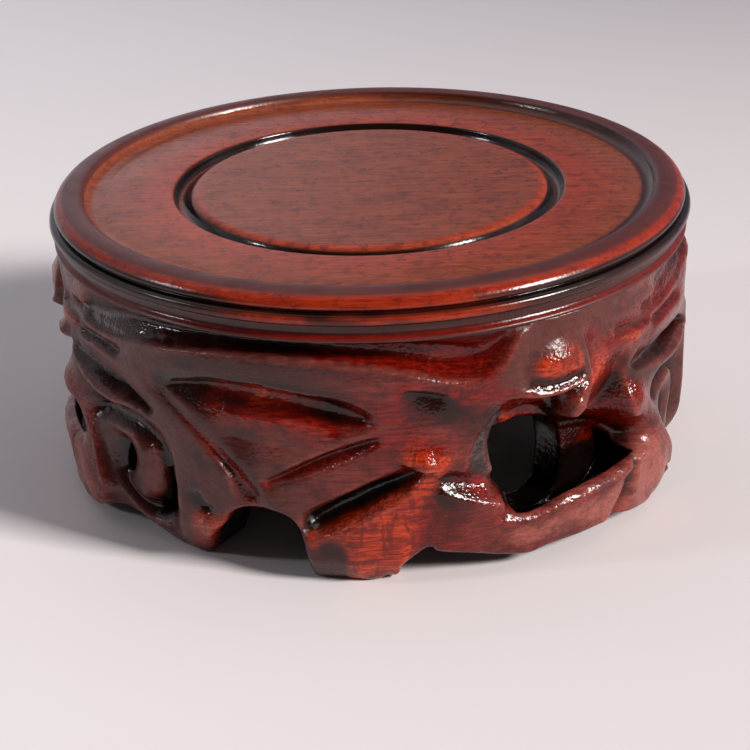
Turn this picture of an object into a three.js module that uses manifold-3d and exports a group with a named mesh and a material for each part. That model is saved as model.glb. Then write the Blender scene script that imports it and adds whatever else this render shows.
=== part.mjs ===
// A round display stand: a turned top board with a raised lip, pinned and glued on a hollow ring that is
// carved all round as knotted roots. The root motif repeats three times. Millimetres, +Z up, the origin on
// the floor under the centre. Angles are in degrees, from the front (-Y) towards +X.
import * as THREE from "three";
import { mergeVertices } from "three/addons/utils/BufferGeometryUtils.js";
import Module from "manifold-3d";

// Top board
const TOP_DIAMETER = 101; // over the lower bead, the widest part
const STAND_HEIGHT = 46; // floor to the crest of the lip
const BOARD_EDGE = 7; // joint face to the crest of the lip
const LIP_WIDTH = 5.1; // lower bead to the inner crest of the lip
const LIP_DROP = 1.4; // crest of the lip to the display face
const LIP_FILLET = 3.6; // width of the soft dip at the foot of the lip
const UPPER_BEAD = 2.5; // height of the bead that the lip rolls into
const UPPER_BEAD_SETBACK = 0.8; // inside the lower bead
const LOWER_BEAD = 1.7; // height
const BEAD_GROOVE_DEPTH = 1.3; // V groove between the two beads
const COVE_DEPTH = 1.2; // shallow cove under the lower bead
const JOINT_RIDGE = 0.7; // height of the thin ridge that covers the joint
const JOINT_RIDGE_SETBACK = 0.6; // inside the lower bead
const RING_GROOVE_RADIUS = 30.8; // sharp outer edge of the groove round the centre field
const RING_GROOVE_WIDTH = 3;
const RING_GROOVE_DEPTH = 1.8;
const SPIGOT_HEIGHT = 3; // locating step under the board
const SPIGOT_CLEARANCE = 0.3; // radial

// Carved ring
const FACE_SETBACK = 0.5; // faces of the roots, inside the board's widest bead
const RING_WALL = 13; // from those faces in to the bore; the ring is hollow from end to end
const THINNEST_WALL = 2.2; // no carving goes nearer to the bore, apart from the openings
const MOTIF_COUNT = 3; // root motifs round the ring
const RELIEF_SCALE = 1; // depth of the carving, against the depths drawn below

// Blind pins in the joint
const PIN_COUNT = 3;
const PIN_DIAMETER = 3;
const PIN_LENGTH = 7;
const PIN_CLEARANCE = 0.3; // radial and at each end, filled with glue
const PIN_WALL = 1.5; // wood between a pin hole and the bore
const PIN_ANGLE = 5; // the first pin, over a front foot

const JOINT_HEIGHT = STAND_HEIGHT - BOARD_EDGE;
const TOP_RADIUS = TOP_DIAMETER / 2;
const FACE_RADIUS = TOP_RADIUS - FACE_SETBACK;
const BORE_RADIUS = FACE_RADIUS - RING_WALL;
const PIN_CIRCLE_RADIUS = BORE_RADIUS + PIN_WALL + PIN_CLEARANCE + PIN_DIAMETER / 2;
const MOTIF_PITCH = 360 / MOTIF_COUNT;
const rad = THREE.MathUtils.degToRad;

const wasm = await Module();
wasm.setup();

function toSolid(geometry) {
  const bare = geometry.clone();
  bare.deleteAttribute("normal");
  bare.deleteAttribute("uv");
  const merged = mergeVertices(bare);
  return new wasm.Manifold(
    new wasm.Mesh({
      numProp: 3,
      vertProperties: merged.attributes.position.array,
      triVerts: new Uint32Array(merged.index.array),
    }),
  );
}

function toGeometry(solid) {
  const { vertProperties, triVerts } = solid.getMesh();
  const geometry = new THREE.BufferGeometry();
  geometry.setAttribute("position", new THREE.BufferAttribute(new Float32Array(vertProperties), 3));
  geometry.setIndex([...triVerts]);
  const faceted = geometry.toNonIndexed();
  faceted.computeVertexNormals();
  return faceted;
}

// One motif of the carving, drawn on the unrolled wall as the crests of the roots and the floors between
// them. Each point is [angle, height, distance out, half width]. Angles count from the middle of the motif,
// which stands over a front foot. The drawing is for a wall DRAWN_HEIGHT tall with faces DRAWN_FACE out, and
// the surface is stretched from line to line.
const DRAWN_HEIGHT = 39;
const DRAWN_PITCH = 120;
const DRAWN_FACE = 50;

const LINES = {
  top: [[-60, 39.4, 49.1, 0], [60, 39.4, 49.1, 0]],
  fluteFloor: [[-66, 34.8, 48.4, 0.3], [-29, 37.3, 46.8, 0.4], [-8, 37.1, 46.2, 0.8], [16, 35, 45.7, 1.5],
    [20, 35.6, 46.4, 0.9]],
  branchCrest: [[-74, 32.2, 48.8, 0.3], [-49.4, 32.7, 49.8, 0.1], [-38, 34.8, 50.5, 0.1],
    [-19, 36, 49.8, 0.1], [0, 34.5, 49.6, 0.1], [12.4, 31.9, 49.8, 0.1], [17.9, 31.7, 50, 0.1]],
  branchBack: [[-45, 31.6, 50.2, 0.8], [-29, 33.8, 50.2, 0.7], [-19, 34, 50, 0.6], [2, 31.9, 49.8, 0.4]],
  lowerStrand: [[-71, 26.9, 49.6, 0.3], [-68, 29.2, 49.8, 0.3], [-60, 30, 50.2, 0.3],
    [-46, 29.2, 50.3, 0.6]],
  leafEnd: [[17.9, 31.7, 50, 0.1], [21.7, 34.3, 50, 0.1], [23.6, 36.9, 49.7, 0.1],
    [27.4, 38.8, 49.3, 0.1]],
  leafLip: [[3.8, 31.6, 49.8, 0.1], [28, 27.6, 51.2, 0.1], [35.1, 28.1, 51.5, 0.1],
    [37.8, 29.3, 51.3, 0.1]],
  knuckle: [[28.6, 31.2, 51.6, 0.7], [31, 31.9, 52, 1], [33.6, 31, 52, 0.9]],
  knuckleRight: [[37.8, 29.4, 51, 0.1], [36, 34.7, 50.1, 0.1]],
  besideKnuckle: [[38.6, 34.6, 48.9, 0.1], [39.6, 28.6, 48.4, 0.1]],
  shoulder: [[42, 36.6, 49.6, 0.8], [58, 35.2, 49.4, 0.6]],
  tongue: [[42.5, 30.5, 48.9, 0.5], [41.5, 27.5, 49.1, 0.6], [36, 23.4, 49.4, 0.8]],
  besideTongue: [[46.5, 28, 48.6, 0.2], [47.4, 25, 47.2, 0.3], [44.4, 19.6, 45, 0.4]],
  caveFloor: [[26, 17.6, 43.6, 1.5], [44, 15.6, 43.4, 1.8], [49, 15, 44, 1.4], [53, 14.4, 46, 0.8]],
  caveRim: [[48.3, 25, 49.6, 0.3], [51.5, 19.5, 50.4, 0.7], [58.6, 14.4, 50.7, 0.2],
    [61.6, 11, 51.1, 0.2], [63.4, 7.8, 51.4, 0.3], [62.6, 1.8, 50.4, 0.3]],
  lobe: [[53, 10.8, 51.2, 0.3], [57.5, 8.6, 51.6, 0.6], [58.5, 4.8, 51.4, 0.6], [58, 1.2, 50.2, 0.5]],
  armRoot: [[10.6, 14.3, 49.8, 0.2], [22, 10.8, 49.6, 0.2]],
  armCrest: [[18.3, 8.9, 50.2, 0.1], [27.6, 8.2, 50.6, 0.1], [31.3, 9.2, 50.9, 0.1],
    [49.5, 10.2, 51.2, 0.1]],
  armInner: [[22, 10.2, 47.4, 0.2], [28, 9.6, 46.6, 0.2], [42, 11.1, 46, 0.2], [49, 11.6, 46.8, 0.2]],
  armFace: [[24, 5.6, 50.2, 0.3], [39, 6.4, 50.8, 0.4]],
  armLow: [[7.4, 5.2, 49, 0.1], [25.3, 2.6, 50, 0.1], [41.5, 2.6, 50.5, 0.1]],
  armNick: [[50.4, 11, 50.4, 0], [45, 2.4, 49.4, 0.05]],
  secondTop: [[-38.1, 29.6, 49.7, 0.1], [-30, 31.8, 49.8, 0.1], [-19.5, 32, 49.8, 0.1],
    [-7.3, 30.7, 49.6, 0.1], [2.6, 26.2, 49.4, 0.1]],
  secondLow: [[-38.1, 28.9, 49.6, 0.1], [-27.5, 26.6, 49.2, 0.1], [-14.2, 25.6, 49.1, 0.1],
    [-6.8, 23.9, 49.1, 0.1]],
  secondFloor: [[-36.5, 29.3, 49, 0.1], [-32, 29.8, 48, 0.2], [-20, 29.1, 46.4, 0.7],
    [-7, 27.2, 46.3, 0.8], [-2.5, 26.4, 47.2, 0.4]],
  drape: [[-24, 23, 49, 0.4], [-16, 22.5, 48.8, 0.3]],
  fanUp: [[2.6, 25, 49.4, 0.1], [-6.9, 22.6, 49.2, 0.1], [-20.2, 16.1, 49.6, 0]],
  fanFloor: [[0, 23.6, 48.4, 0], [-9, 20.2, 46.9, 0.2], [-19, 16.2, 48.8, 0]],
  fanLow: [[2.1, 23.4, 49.3, 0.1], [-5.5, 19.8, 49, 0.1], [-19, 15.4, 49.6, 0]],
  deepUp: [[6, 19.4, 49, 0.1], [0, 17.8, 49, 0.1], [-14.4, 11.7, 49.6, 0.1]],
  deepFloor: [[7, 18, 47.6, 0.3], [4.4, 16.2, 46.2, 0.5], [-6, 12, 45.2, 0.6], [-10.5, 10, 45.8, 0.5],
    [-12.6, 9, 47.5, 0.2]],
  footTop: [[-12.3, 7.2, 49.9, 0.1], [4.2, 14.6, 49.9, 0.1], [8.6, 18.4, 49.3, 0.2]],
  footRidge: [[-4.3, 9.4, 50.5, 0.1], [-4.2, 5, 50.3, 0.1], [-4.2, 0, 47.6, 0.1]],
  footRight: [[4, 10, 49.9, 0.3], [3, 5, 49.7, 0.3], [1.4, 0.2, 47, 0.2]],
  post: [[12.5, 28.4, 49.5, 0.4], [8.6, 20, 49.8, 0.4]],
  bevelLeft: [[20.4, 26.4, 49.4, 0.1], [16.2, 22.4, 49.2, 0.1], [14.6, 17.4, 49.2, 0.1]],
  bevelRight: [[21.4, 24.8, 47.6, 0.1], [19.8, 21.6, 47.2, 0.1], [20.4, 15.8, 47.4, 0.1]],
  gullyUp: [[-64, 27.4, 49.8, 0.1], [-49, 27.3, 50, 0.1], [-40.4, 24.2, 50.2, 0.1]],
  gullyFloor: [[-69, 25.8, 48.9, 0.2], [-50, 25.2, 47.2, 0.6], [-41.5, 23.6, 49, 0.1]],
  scrollOuter: [[-71, 25, 49.6, 0.3], [-61.2, 23.6, 50.5, 0.2], [-46.5, 23.9, 50.8, 0.15],
    [-39.1, 22.4, 50.6, 0.15], [-36, 18.4, 50.5, 0.2], [-35.4, 9, 50.5, 0.4], [-36, 5.5, 50, 0.4],
    [-38.2, 0, 46.2, 0.4]],
  scrollChannel: [[-59.6, 18.4, 47.4, 0.25], [-57, 19.4, 47, 0.4], [-49.5, 19.6, 47, 0.6],
    [-45.4, 18.6, 46.9, 0.6], [-42.4, 16.6, 46.7, 0.6], [-41.2, 13.9, 46.4, 0.7], [-41.2, 9.4, 46, 0.8],
    [-43, 6.4, 46, 0.6], [-45.6, 5.3, 46.8, 0.3]],
  eyeFloor: [[-52.4, 14.8, 47, 0.3], [-51.8, 12.4, 46.6, 0.4], [-52.6, 10.6, 46.8, 0.3]],
  strandCrest: [[-41, 28.6, 50, 0.1], [-30.4, 21.7, 50.5, 0.1], [-25.3, 16.6, 50.6, 0.1],
    [-25.4, 14, 50.4, 0.2]],
  strandBack: [[-44, 28, 50.3, 0.6], [-38.5, 24.6, 50.5, 0.6], [-34, 20, 50.6, 0.6], [-31, 16, 50.6, 0.6],
    [-30, 12, 50.4, 0.5]],
  strandGroove: [[-39.6, 27.9, 49.9, 0], [-30.8, 22.1, 49.8, 0.1], [-21.8, 13.8, 48.8, 0.3]],
  drapeCrest: [[-38.1, 28.7, 49.7, 0.1], [-27.8, 22.8, 50, 0.1], [-18.6, 13.6, 50.1, 0.1],
    [-14.7, 11.1, 50.1, 0.1], [-13, 9, 50, 0.1], [-12.2, 5, 49.8, 0.1], [-12, 0, 47, 0.1]],
  toe: [[-31.5, 12, 50.3, 0.6], [-31.6, 7, 50.1, 0.6], [-33.4, 0, 46.2, 0.6]],
  holeLeft: [[22.8, 24, 44.4, 0.2], [21.6, 18, 43.8, 0.3], [24, 12.6, 44, 0.3]],
  petalLip: [[-56.9, 16.8, 49, 0.1], [-48.7, 17.3, 49, 0.15], [-47.1, 15.7, 48.9, 0.15],
    [-46.5, 14.2, 48.9, 0.15], [-50, 9.6, 48.6, 0.15]],
  petalLow: [[-50, 8.8, 48.6, 0.15], [-47.4, 7.6, 48.5, 0.2]],
  petalGroove: [[-54, 9.6, 48, 0.05], [-51.2, 7.6, 48, 0.05], [-45.6, 5.3, 46.8, 0.3]],
  scrollLeft: [[-58.4, 16.8, 49.2, 0.1], [-55.2, 9.8, 49.2, 0.1], [-52, 6.8, 49.2, 0.1],
    [-45, 3.6, 48.4, 0.1], [-41.6, 3.8, 48.2, 0.15]],
};

// The lower edge of the wall over one motif: feet stand at 0 and arches rise between them.
const LOWER_EDGE = [[-60, 1.8], [-57.4, 3], [-53, 3.8], [-46.3, 2], [-43.5, 0.8], [-41, 0], [-34.5, 0],
  [-32.8, 1.6], [-29.9, 5.9], [-26.3, 9.9], [-24, 11.2], [-20.7, 11.7], [-17, 11.5], [-14.6, 10.4],
  [-13.3, 8], [-12.2, 0.4], [-11.6, 0], [1.6, 0], [3.9, 2.9], [8.8, 5.4], [10.1, 4.6], [25.3, 1.9],
  [39.3, 2.4], [51.7, 1.5], [57.3, 1]];

// Openings through the wall, and the hollow behind the arm: cut between two distances out, within an outline
// of [angle, height].
const OPENINGS = {
  window: { from: 30, to: 45.6, outline: [[22, 22.5], [20.8, 18], [21, 13], [23, 9.5], [28, 7.6], [34, 7.6],
    [38, 9.6], [39.5, 14], [38, 19], [33, 22.5], [27, 24]] },
  behindArm: { from: 43.8, to: 49.2, outline: [[23.5, 10.4], [27, 7.8], [34, 7.2], [42, 7.6], [48, 8.8],
    [50.4, 11], [47, 12.6], [40, 12.8], [30, 12.2]] },
  eye: { from: 30, to: 47, outline: [[-52.2, 15], [-50.4, 14.4], [-49.8, 12], [-51, 9.8], [-52.6, 9.4],
    [-53.4, 11], [-53.2, 13]] },
  crescent: { from: 30, to: 46.8, outline: [[-40.8, 13.4], [-39.9, 10], [-40.4, 7], [-43.4, 5.2], [-45, 5.3],
    [-43.2, 7], [-42.1, 9.6], [-41.9, 12.4]] },
};

const heightScale = JOINT_HEIGHT / DRAWN_HEIGHT;
const angleScale = MOTIF_PITCH / DRAWN_PITCH;

function drawnRadius(out) {
  return FACE_RADIUS + (out - DRAWN_FACE) * RELIEF_SCALE;
}

const CURVE_STEPS = 5; // straight pieces in each span of a line

// A line as short straight pieces along a smooth curve, in millimetres on the unrolled wall.
function smoothLine(points) {
  const places = points.map(([angle, height]) => new THREE.Vector3(
    rad(angle * angleScale) * FACE_RADIUS, height * heightScale, 0));
  const curve = new THREE.CatmullRomCurve3(places, false, "centripetal");
  const spans = points.length - 1;
  return Array.from({ length: spans * CURVE_STEPS + 1 }, (_, i) => {
    const at = i / CURVE_STEPS;
    const k = Math.min(Math.floor(at), spans - 1);
    const { x, y } = curve.getPoint(at / spans);
    return {
      x,
      y,
      radius: drawnRadius(THREE.MathUtils.lerp(points[k][2], points[k + 1][2], at - k)),
      half: THREE.MathUtils.lerp(points[k][3], points[k + 1][3], at - k),
    };
  });
}

const drawnLines = Object.values(LINES).map(smoothLine);

// The relief is worked out on a grid of cells over one motif.
const RELIEF_COLUMNS = 180;
const RELIEF_ROWS = 80;
const SWEEPS = 200; // passes that stretch the surface between the lines
const OVER_RELAXATION = 1.85;
const ROUNDING = 3; // passes that round the crests, each with the neighbouring cells
const cellWidth = (rad(MOTIF_PITCH) * FACE_RADIUS) / RELIEF_COLUMNS;
const cellHeight = JOINT_HEIGHT / (RELIEF_ROWS - 1);

// Holds the cells that one piece of a line covers at its radius, where no other piece is relatively nearer.
function holdCells(relief, a, b) {
  const reach = Math.max(a.half, b.half) + cellWidth;
  const firstColumn = Math.ceil((Math.min(a.x, b.x) - reach) / cellWidth);
  const lastColumn = Math.floor((Math.max(a.x, b.x) + reach) / cellWidth);
  const firstRow = Math.max(0, Math.ceil((Math.min(a.y, b.y) - reach) / cellHeight));
  const lastRow = Math.min(RELIEF_ROWS - 1, Math.floor((Math.max(a.y, b.y) + reach) / cellHeight));
  const [dx, dy] = [b.x - a.x, b.y - a.y];
  for (let i = firstColumn; i <= lastColumn; i++) {
    for (let j = firstRow; j <= lastRow; j++) {
      const [x, y] = [i * cellWidth - a.x, j * cellHeight - a.y];
      const t = THREE.MathUtils.clamp((x * dx + y * dy) / (dx * dx + dy * dy), 0, 1);
      const half = THREE.MathUtils.lerp(a.half, b.half, t) + 0.6 * cellWidth;
      const gap = Math.hypot(x - t * dx, y - t * dy) / half;
      const column = THREE.MathUtils.euclideanModulo(i + RELIEF_COLUMNS / 2, RELIEF_COLUMNS);
      const cell = column * RELIEF_ROWS + j;
      if (gap < relief.nearest[cell]) {
        relief.nearest[cell] = gap;
        relief.radius[cell] = THREE.MathUtils.lerp(a.radius, b.radius, t);
      }
    }
  }
}

// Radii of the carved surface: held on the lines, and stretched like a skin between them.
function stretchRelief() {
  const cells = RELIEF_COLUMNS * RELIEF_ROWS;
  const radius = new Float64Array(cells).fill(FACE_RADIUS);
  const nearest = new Float64Array(cells).fill(1);
  for (const line of drawnLines) {
    for (let i = 0; i + 1 < line.length; i++) holdCells({ radius, nearest }, line[i], line[i + 1]);
  }
  for (let sweep = 0; sweep < SWEEPS; sweep++) {
    for (let i = 0; i < RELIEF_COLUMNS; i++) {
      const left = ((i + RELIEF_COLUMNS - 1) % RELIEF_COLUMNS) * RELIEF_ROWS;
      const right = ((i + 1) % RELIEF_COLUMNS) * RELIEF_ROWS;
      const here = i * RELIEF_ROWS;
      for (let j = 0; j < RELIEF_ROWS; j++) {
        if (nearest[here + j] < 1) continue;
        const below = here + Math.max(j - 1, 0);
        const above = here + Math.min(j + 1, RELIEF_ROWS - 1);
        const mean = (radius[left + j] + radius[right + j] + radius[below] + radius[above]) / 4;
        radius[here + j] += OVER_RELAXATION * (mean - radius[here + j]);
      }
    }
  }
  return radius;
}

// One pass of rounding: each cell becomes the mean of itself and its four neighbours.
function roundRelief(radius) {
  return radius.map((own, cell) => {
    const [i, j] = [Math.floor(cell / RELIEF_ROWS), cell % RELIEF_ROWS];
    const left = ((i + RELIEF_COLUMNS - 1) % RELIEF_COLUMNS) * RELIEF_ROWS + j;
    const right = ((i + 1) % RELIEF_COLUMNS) * RELIEF_ROWS + j;
    const below = i * RELIEF_ROWS + Math.max(j - 1, 0);
    const above = i * RELIEF_ROWS + Math.min(j + 1, RELIEF_ROWS - 1);
    return (own + radius[left] + radius[right] + radius[below] + radius[above]) / 5;
  });
}

let relief = stretchRelief();
for (let pass = 0; pass < ROUNDING; pass++) relief = roundRelief(relief);

function wallRadius(angle, z) {
  const column = THREE.MathUtils.euclideanModulo(angle / MOTIF_PITCH + 0.5, 1) * RELIEF_COLUMNS;
  const row = Math.min(z / cellHeight, RELIEF_ROWS - 1.001);
  const [i, j] = [Math.floor(column), Math.floor(row)];
  const [u, v] = [column - i, row - j];
  const cell = (i % RELIEF_COLUMNS) * RELIEF_ROWS + j;
  const next = ((i + 1) % RELIEF_COLUMNS) * RELIEF_ROWS + j;
  const low = THREE.MathUtils.lerp(relief[cell], relief[next], u);
  const high = THREE.MathUtils.lerp(relief[cell + 1], relief[next + 1], u);
  return Math.max(THREE.MathUtils.lerp(low, high, v), BORE_RADIUS + THINNEST_WALL);
}

function lowerEdge(angle) {
  const drawn = angle / angleScale;
  const points = [...LOWER_EDGE, [LOWER_EDGE[0][0] + DRAWN_PITCH, LOWER_EDGE[0][1]]];
  const k = points.findIndex(([a], i) => i > 0 && drawn <= a);
  const [a0, z0] = points[k - 1];
  const [a1, z1] = points[k];
  const share = THREE.MathUtils.smoothstep(drawn, a0, a1) * 0.4 + ((drawn - a0) / (a1 - a0)) * 0.6;
  return THREE.MathUtils.lerp(z0, z1, share) * heightScale;
}

const COLUMNS_PER_MOTIF = 60;
const WALL_ROWS = 24; // rows of faces up the outside
const PULL = 0.38; // how far a point of the wall's mesh goes to meet a line, in cells of that mesh

// The nearest place on the drawn lines, where one is within reach: crests then run along edges of the mesh.
function pullToLine(angle, z) {
  const x = rad(angle) * FACE_RADIUS;
  const turn = rad(MOTIF_PITCH) * FACE_RADIUS;
  const meshWidth = turn / COLUMNS_PER_MOTIF;
  const meshHeight = JOINT_HEIGHT / WALL_ROWS;
  let best = { gap: PULL, x, z };
  for (const line of drawnLines) {
    for (let i = 0; i + 1 < line.length; i++) {
      const [a, b] = [line[i], line[i + 1]];
      const lap = Math.round((x - a.x) / turn) * turn;
      const [u, v] = [(x - lap - a.x) / meshWidth, (z - a.y) / meshHeight];
      const [du, dv] = [(b.x - a.x) / meshWidth, (b.y - a.y) / meshHeight];
      const t = THREE.MathUtils.clamp((u * du + v * dv) / (du * du + dv * dv), 0, 1);
      const gap = Math.hypot(u - t * du, v - t * dv);
      if (gap < best.gap) {
        best = { gap, x: lap + THREE.MathUtils.lerp(a.x, b.x, t), z: THREE.MathUtils.lerp(a.y, b.y, t) };
      }
    }
  }
  return [THREE.MathUtils.radToDeg(best.x / FACE_RADIUS), best.z];
}

// One section for each angle of a motif: up the outside, then down the bore. Each point is [angle, radius,
// height].
function motifSections() {
  return Array.from({ length: COLUMNS_PER_MOTIF }, (_, i) => {
    const angle = (i / COLUMNS_PER_MOTIF - 0.5) * MOTIF_PITCH;
    const foot = lowerEdge(angle);
    const section = [[angle, wallRadius(angle, foot), foot]];
    for (let k = 1; k < WALL_ROWS; k++) {
      const [a, z] = pullToLine(angle, THREE.MathUtils.lerp(foot, JOINT_HEIGHT, k / WALL_ROWS));
      section.push([a, wallRadius(a, z), z]);
    }
    section.push([angle, wallRadius(angle, JOINT_HEIGHT), JOINT_HEIGHT]);
    section.push([angle, BORE_RADIUS, JOINT_HEIGHT], [angle, BORE_RADIUS, foot]);
    return section;
  });
}

// The wall as a closed ring of quads. Each quad is split along the diagonal that runs with the carving, which
// is the one whose two ends stand at more equal radii.
function wallGeometry() {
  const motif = motifSections();
  const columns = COLUMNS_PER_MOTIF * MOTIF_COUNT;
  const sections = Array.from({ length: columns }, (_, i) => motif[i % COLUMNS_PER_MOTIF]);
  const positions = sections.flatMap((section, i) => {
    const start = Math.floor(i / COLUMNS_PER_MOTIF) * MOTIF_PITCH;
    return section.flatMap(([angle, r, z]) => {
      const turn = rad(start + angle);
      return [r * Math.sin(turn), -r * Math.cos(turn), z];
    });
  });
  const around = motif[0].length;
  const index = [];
  for (let i = 0; i < columns; i++) {
    const next = (i + 1) % columns;
    for (let k = 0; k < around; k++) {
      const up = (k + 1) % around;
      const [a, b, c, d] = [i * around + k, next * around + k, next * around + up, i * around + up];
      const rising = Math.abs(sections[i][k][1] - sections[next][up][1]);
      const falling = Math.abs(sections[next][k][1] - sections[i][up][1]);
      index.push(...(rising <= falling ? [a, b, c, a, c, d] : [a, b, d, b, c, d]));
    }
  }
  const geometry = new THREE.BufferGeometry();
  geometry.setAttribute("position", new THREE.Float32BufferAttribute(positions, 3));
  geometry.setIndex(index);
  return geometry;
}

const TOOL_MARGIN = 4; // how far a tool that opens into the bore runs past it

// A cutting tool for one opening: its outline swept straight out from the axis.
function openingTool({ from, to, outline }, motif) {
  const shape = new THREE.Shape(outline.map(([angle, height]) => new THREE.Vector2(angle, height)));
  const tool = new THREE.ExtrudeGeometry(shape, { depth: 1, bevelEnabled: false });
  const inner = Math.max(drawnRadius(from), BORE_RADIUS - TOOL_MARGIN);
  const place = tool.attributes.position;
  for (let i = 0; i < place.count; i++) {
    const turn = rad(place.getX(i) * angleScale + motif * MOTIF_PITCH);
    const r = THREE.MathUtils.lerp(inner, drawnRadius(to), place.getZ(i));
    place.setXYZ(i, r * Math.sin(turn), -r * Math.cos(turn), place.getY(i) * heightScale);
  }
  return toSolid(tool);
}

function pinPlace(k) {
  const turn = rad(PIN_ANGLE + (k * 360) / PIN_COUNT);
  const [x, y] = [Math.sin(turn), -Math.cos(turn)];
  return new THREE.Vector3(PIN_CIRCLE_RADIUS * x, PIN_CIRCLE_RADIUS * y, JOINT_HEIGHT);
}

const PIN_SIDES = 16;

function pinGeometry(radius, length) {
  return new THREE.CylinderGeometry(radius, radius, length, PIN_SIDES).rotateX(Math.PI / 2);
}

// One pin hole, long enough for the pin and a little air at both ends.
function pinHole(k) {
  const { x, y, z } = pinPlace(k);
  const hole = pinGeometry(PIN_DIAMETER / 2 + PIN_CLEARANCE, PIN_LENGTH + 2 * PIN_CLEARANCE);
  return toSolid(hole.translate(x, y, z));
}

function carvedRing() {
  let ring = toSolid(wallGeometry());
  for (let motif = 0; motif < MOTIF_COUNT; motif++) {
    for (const opening of Object.values(OPENINGS)) ring = ring.subtract(openingTool(opening, motif));
  }
  for (let k = 0; k < PIN_COUNT; k++) ring = ring.subtract(pinHole(k));
  return toGeometry(ring);
}

const PROFILE_STEPS = 2; // straight pieces in each curve of the section

// The board's section, from the axis under the spigot, round the moulded edge and back over the top.
function boardProfile() {
  const p = new THREE.Path();
  const face = STAND_HEIGHT - LIP_DROP;
  const spigot = BORE_RADIUS - SPIGOT_CLEARANCE;
  const ridge = TOP_RADIUS - JOINT_RIDGE_SETBACK;
  const ridgeTop = JOINT_HEIGHT + JOINT_RIDGE;
  const cove = TOP_RADIUS - COVE_DEPTH;
  const bead = TOP_RADIUS - COVE_DEPTH / 2;
  const seam = STAND_HEIGHT - UPPER_BEAD;
  const coveTop = seam - LOWER_BEAD;
  const grooveFloor = TOP_RADIUS - BEAD_GROOVE_DEPTH;
  const upper = TOP_RADIUS - UPPER_BEAD_SETBACK;
  const crest = TOP_RADIUS - LIP_WIDTH;
  const grooveFace = face - RING_GROOVE_DEPTH;
  const grooveIn = RING_GROOVE_RADIUS - RING_GROOVE_WIDTH;

  p.moveTo(0, JOINT_HEIGHT - SPIGOT_HEIGHT);
  p.lineTo(spigot, JOINT_HEIGHT - SPIGOT_HEIGHT);
  p.lineTo(spigot, JOINT_HEIGHT);
  p.lineTo(cove, JOINT_HEIGHT);
  p.quadraticCurveTo(ridge + JOINT_RIDGE_SETBACK, JOINT_HEIGHT, ridge, ridgeTop);
  p.quadraticCurveTo(cove - COVE_DEPTH / 3, (ridgeTop + coveTop) / 2, bead, coveTop);
  p.quadraticCurveTo(TOP_RADIUS + COVE_DEPTH / 2, coveTop + LOWER_BEAD / 2, bead, seam - LOWER_BEAD / 8);
  p.lineTo(grooveFloor, seam);
  p.lineTo(upper - UPPER_BEAD / 12, seam + UPPER_BEAD / 8);
  p.quadraticCurveTo(upper + UPPER_BEAD / 6, seam + UPPER_BEAD / 2, upper - UPPER_BEAD / 2,
    seam + UPPER_BEAD * 0.82);
  p.quadraticCurveTo(TOP_RADIUS - LIP_WIDTH / 2, STAND_HEIGHT, crest, STAND_HEIGHT);
  p.lineTo(crest - LIP_FILLET / 8, face + LIP_DROP / 2);
  p.quadraticCurveTo(crest - LIP_FILLET / 3, face - LIP_DROP / 6, crest - LIP_FILLET * 0.6,
    face - LIP_DROP / 8);
  p.lineTo(crest - LIP_FILLET, face);
  p.lineTo(RING_GROOVE_RADIUS, face);
  p.lineTo(RING_GROOVE_RADIUS - RING_GROOVE_DEPTH / 10, grooveFace);
  p.quadraticCurveTo(grooveIn + RING_GROOVE_WIDTH / 2, grooveFace, grooveIn + RING_GROOVE_WIDTH / 3,
    face - RING_GROOVE_DEPTH / 2);
  p.quadraticCurveTo(grooveIn + RING_GROOVE_WIDTH / 6, face, grooveIn - RING_GROOVE_WIDTH / 6, face);
  p.lineTo(0, face);
  return p.getPoints(PROFILE_STEPS);
}

const BOARD_SIDES = 60;

function topBoard() {
  const turned = new THREE.LatheGeometry(boardProfile(), BOARD_SIDES).rotateX(Math.PI / 2);
  let board = toSolid(turned);
  for (let k = 0; k < PIN_COUNT; k++) board = board.subtract(pinHole(k));
  return toGeometry(board);
}

const carvedWood = new THREE.MeshStandardMaterial({ color: 0x6e1d10, roughness: 0.22, metalness: 0 });
const boardWood = new THREE.MeshStandardMaterial({ color: 0x74301f, roughness: 0.25, metalness: 0 });
const pinWood = new THREE.MeshStandardMaterial({ color: 0xc9a66b, roughness: 0.7, metalness: 0 });

const stand = new THREE.Group();
function add(name, geometry, material) {
  const mesh = new THREE.Mesh(geometry, material);
  mesh.name = name;
  stand.add(mesh);
  return mesh;
}

add("carved_ring", carvedRing(), carvedWood);
add("top_board", topBoard(), boardWood);
for (let k = 0; k < PIN_COUNT; k++) {
  const pin = add(`joint_pin_${k + 1}`, pinGeometry(PIN_DIAMETER / 2, PIN_LENGTH), pinWood);
  pin.position.copy(pinPlace(k));
}

export default stand;
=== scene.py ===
"""A round display stand: a turned, lacquered top board on a ring carved as knotted roots.

Lengths are in millimetres until a mesh is made, angles are in degrees from the front (-Y) towards +X, and
"out" is the distance from the stand's axis. Lights, floor and backdrop are in metres.
"""
import math

import bpy
import numpy as np
from mathutils import Matrix, Vector


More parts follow.
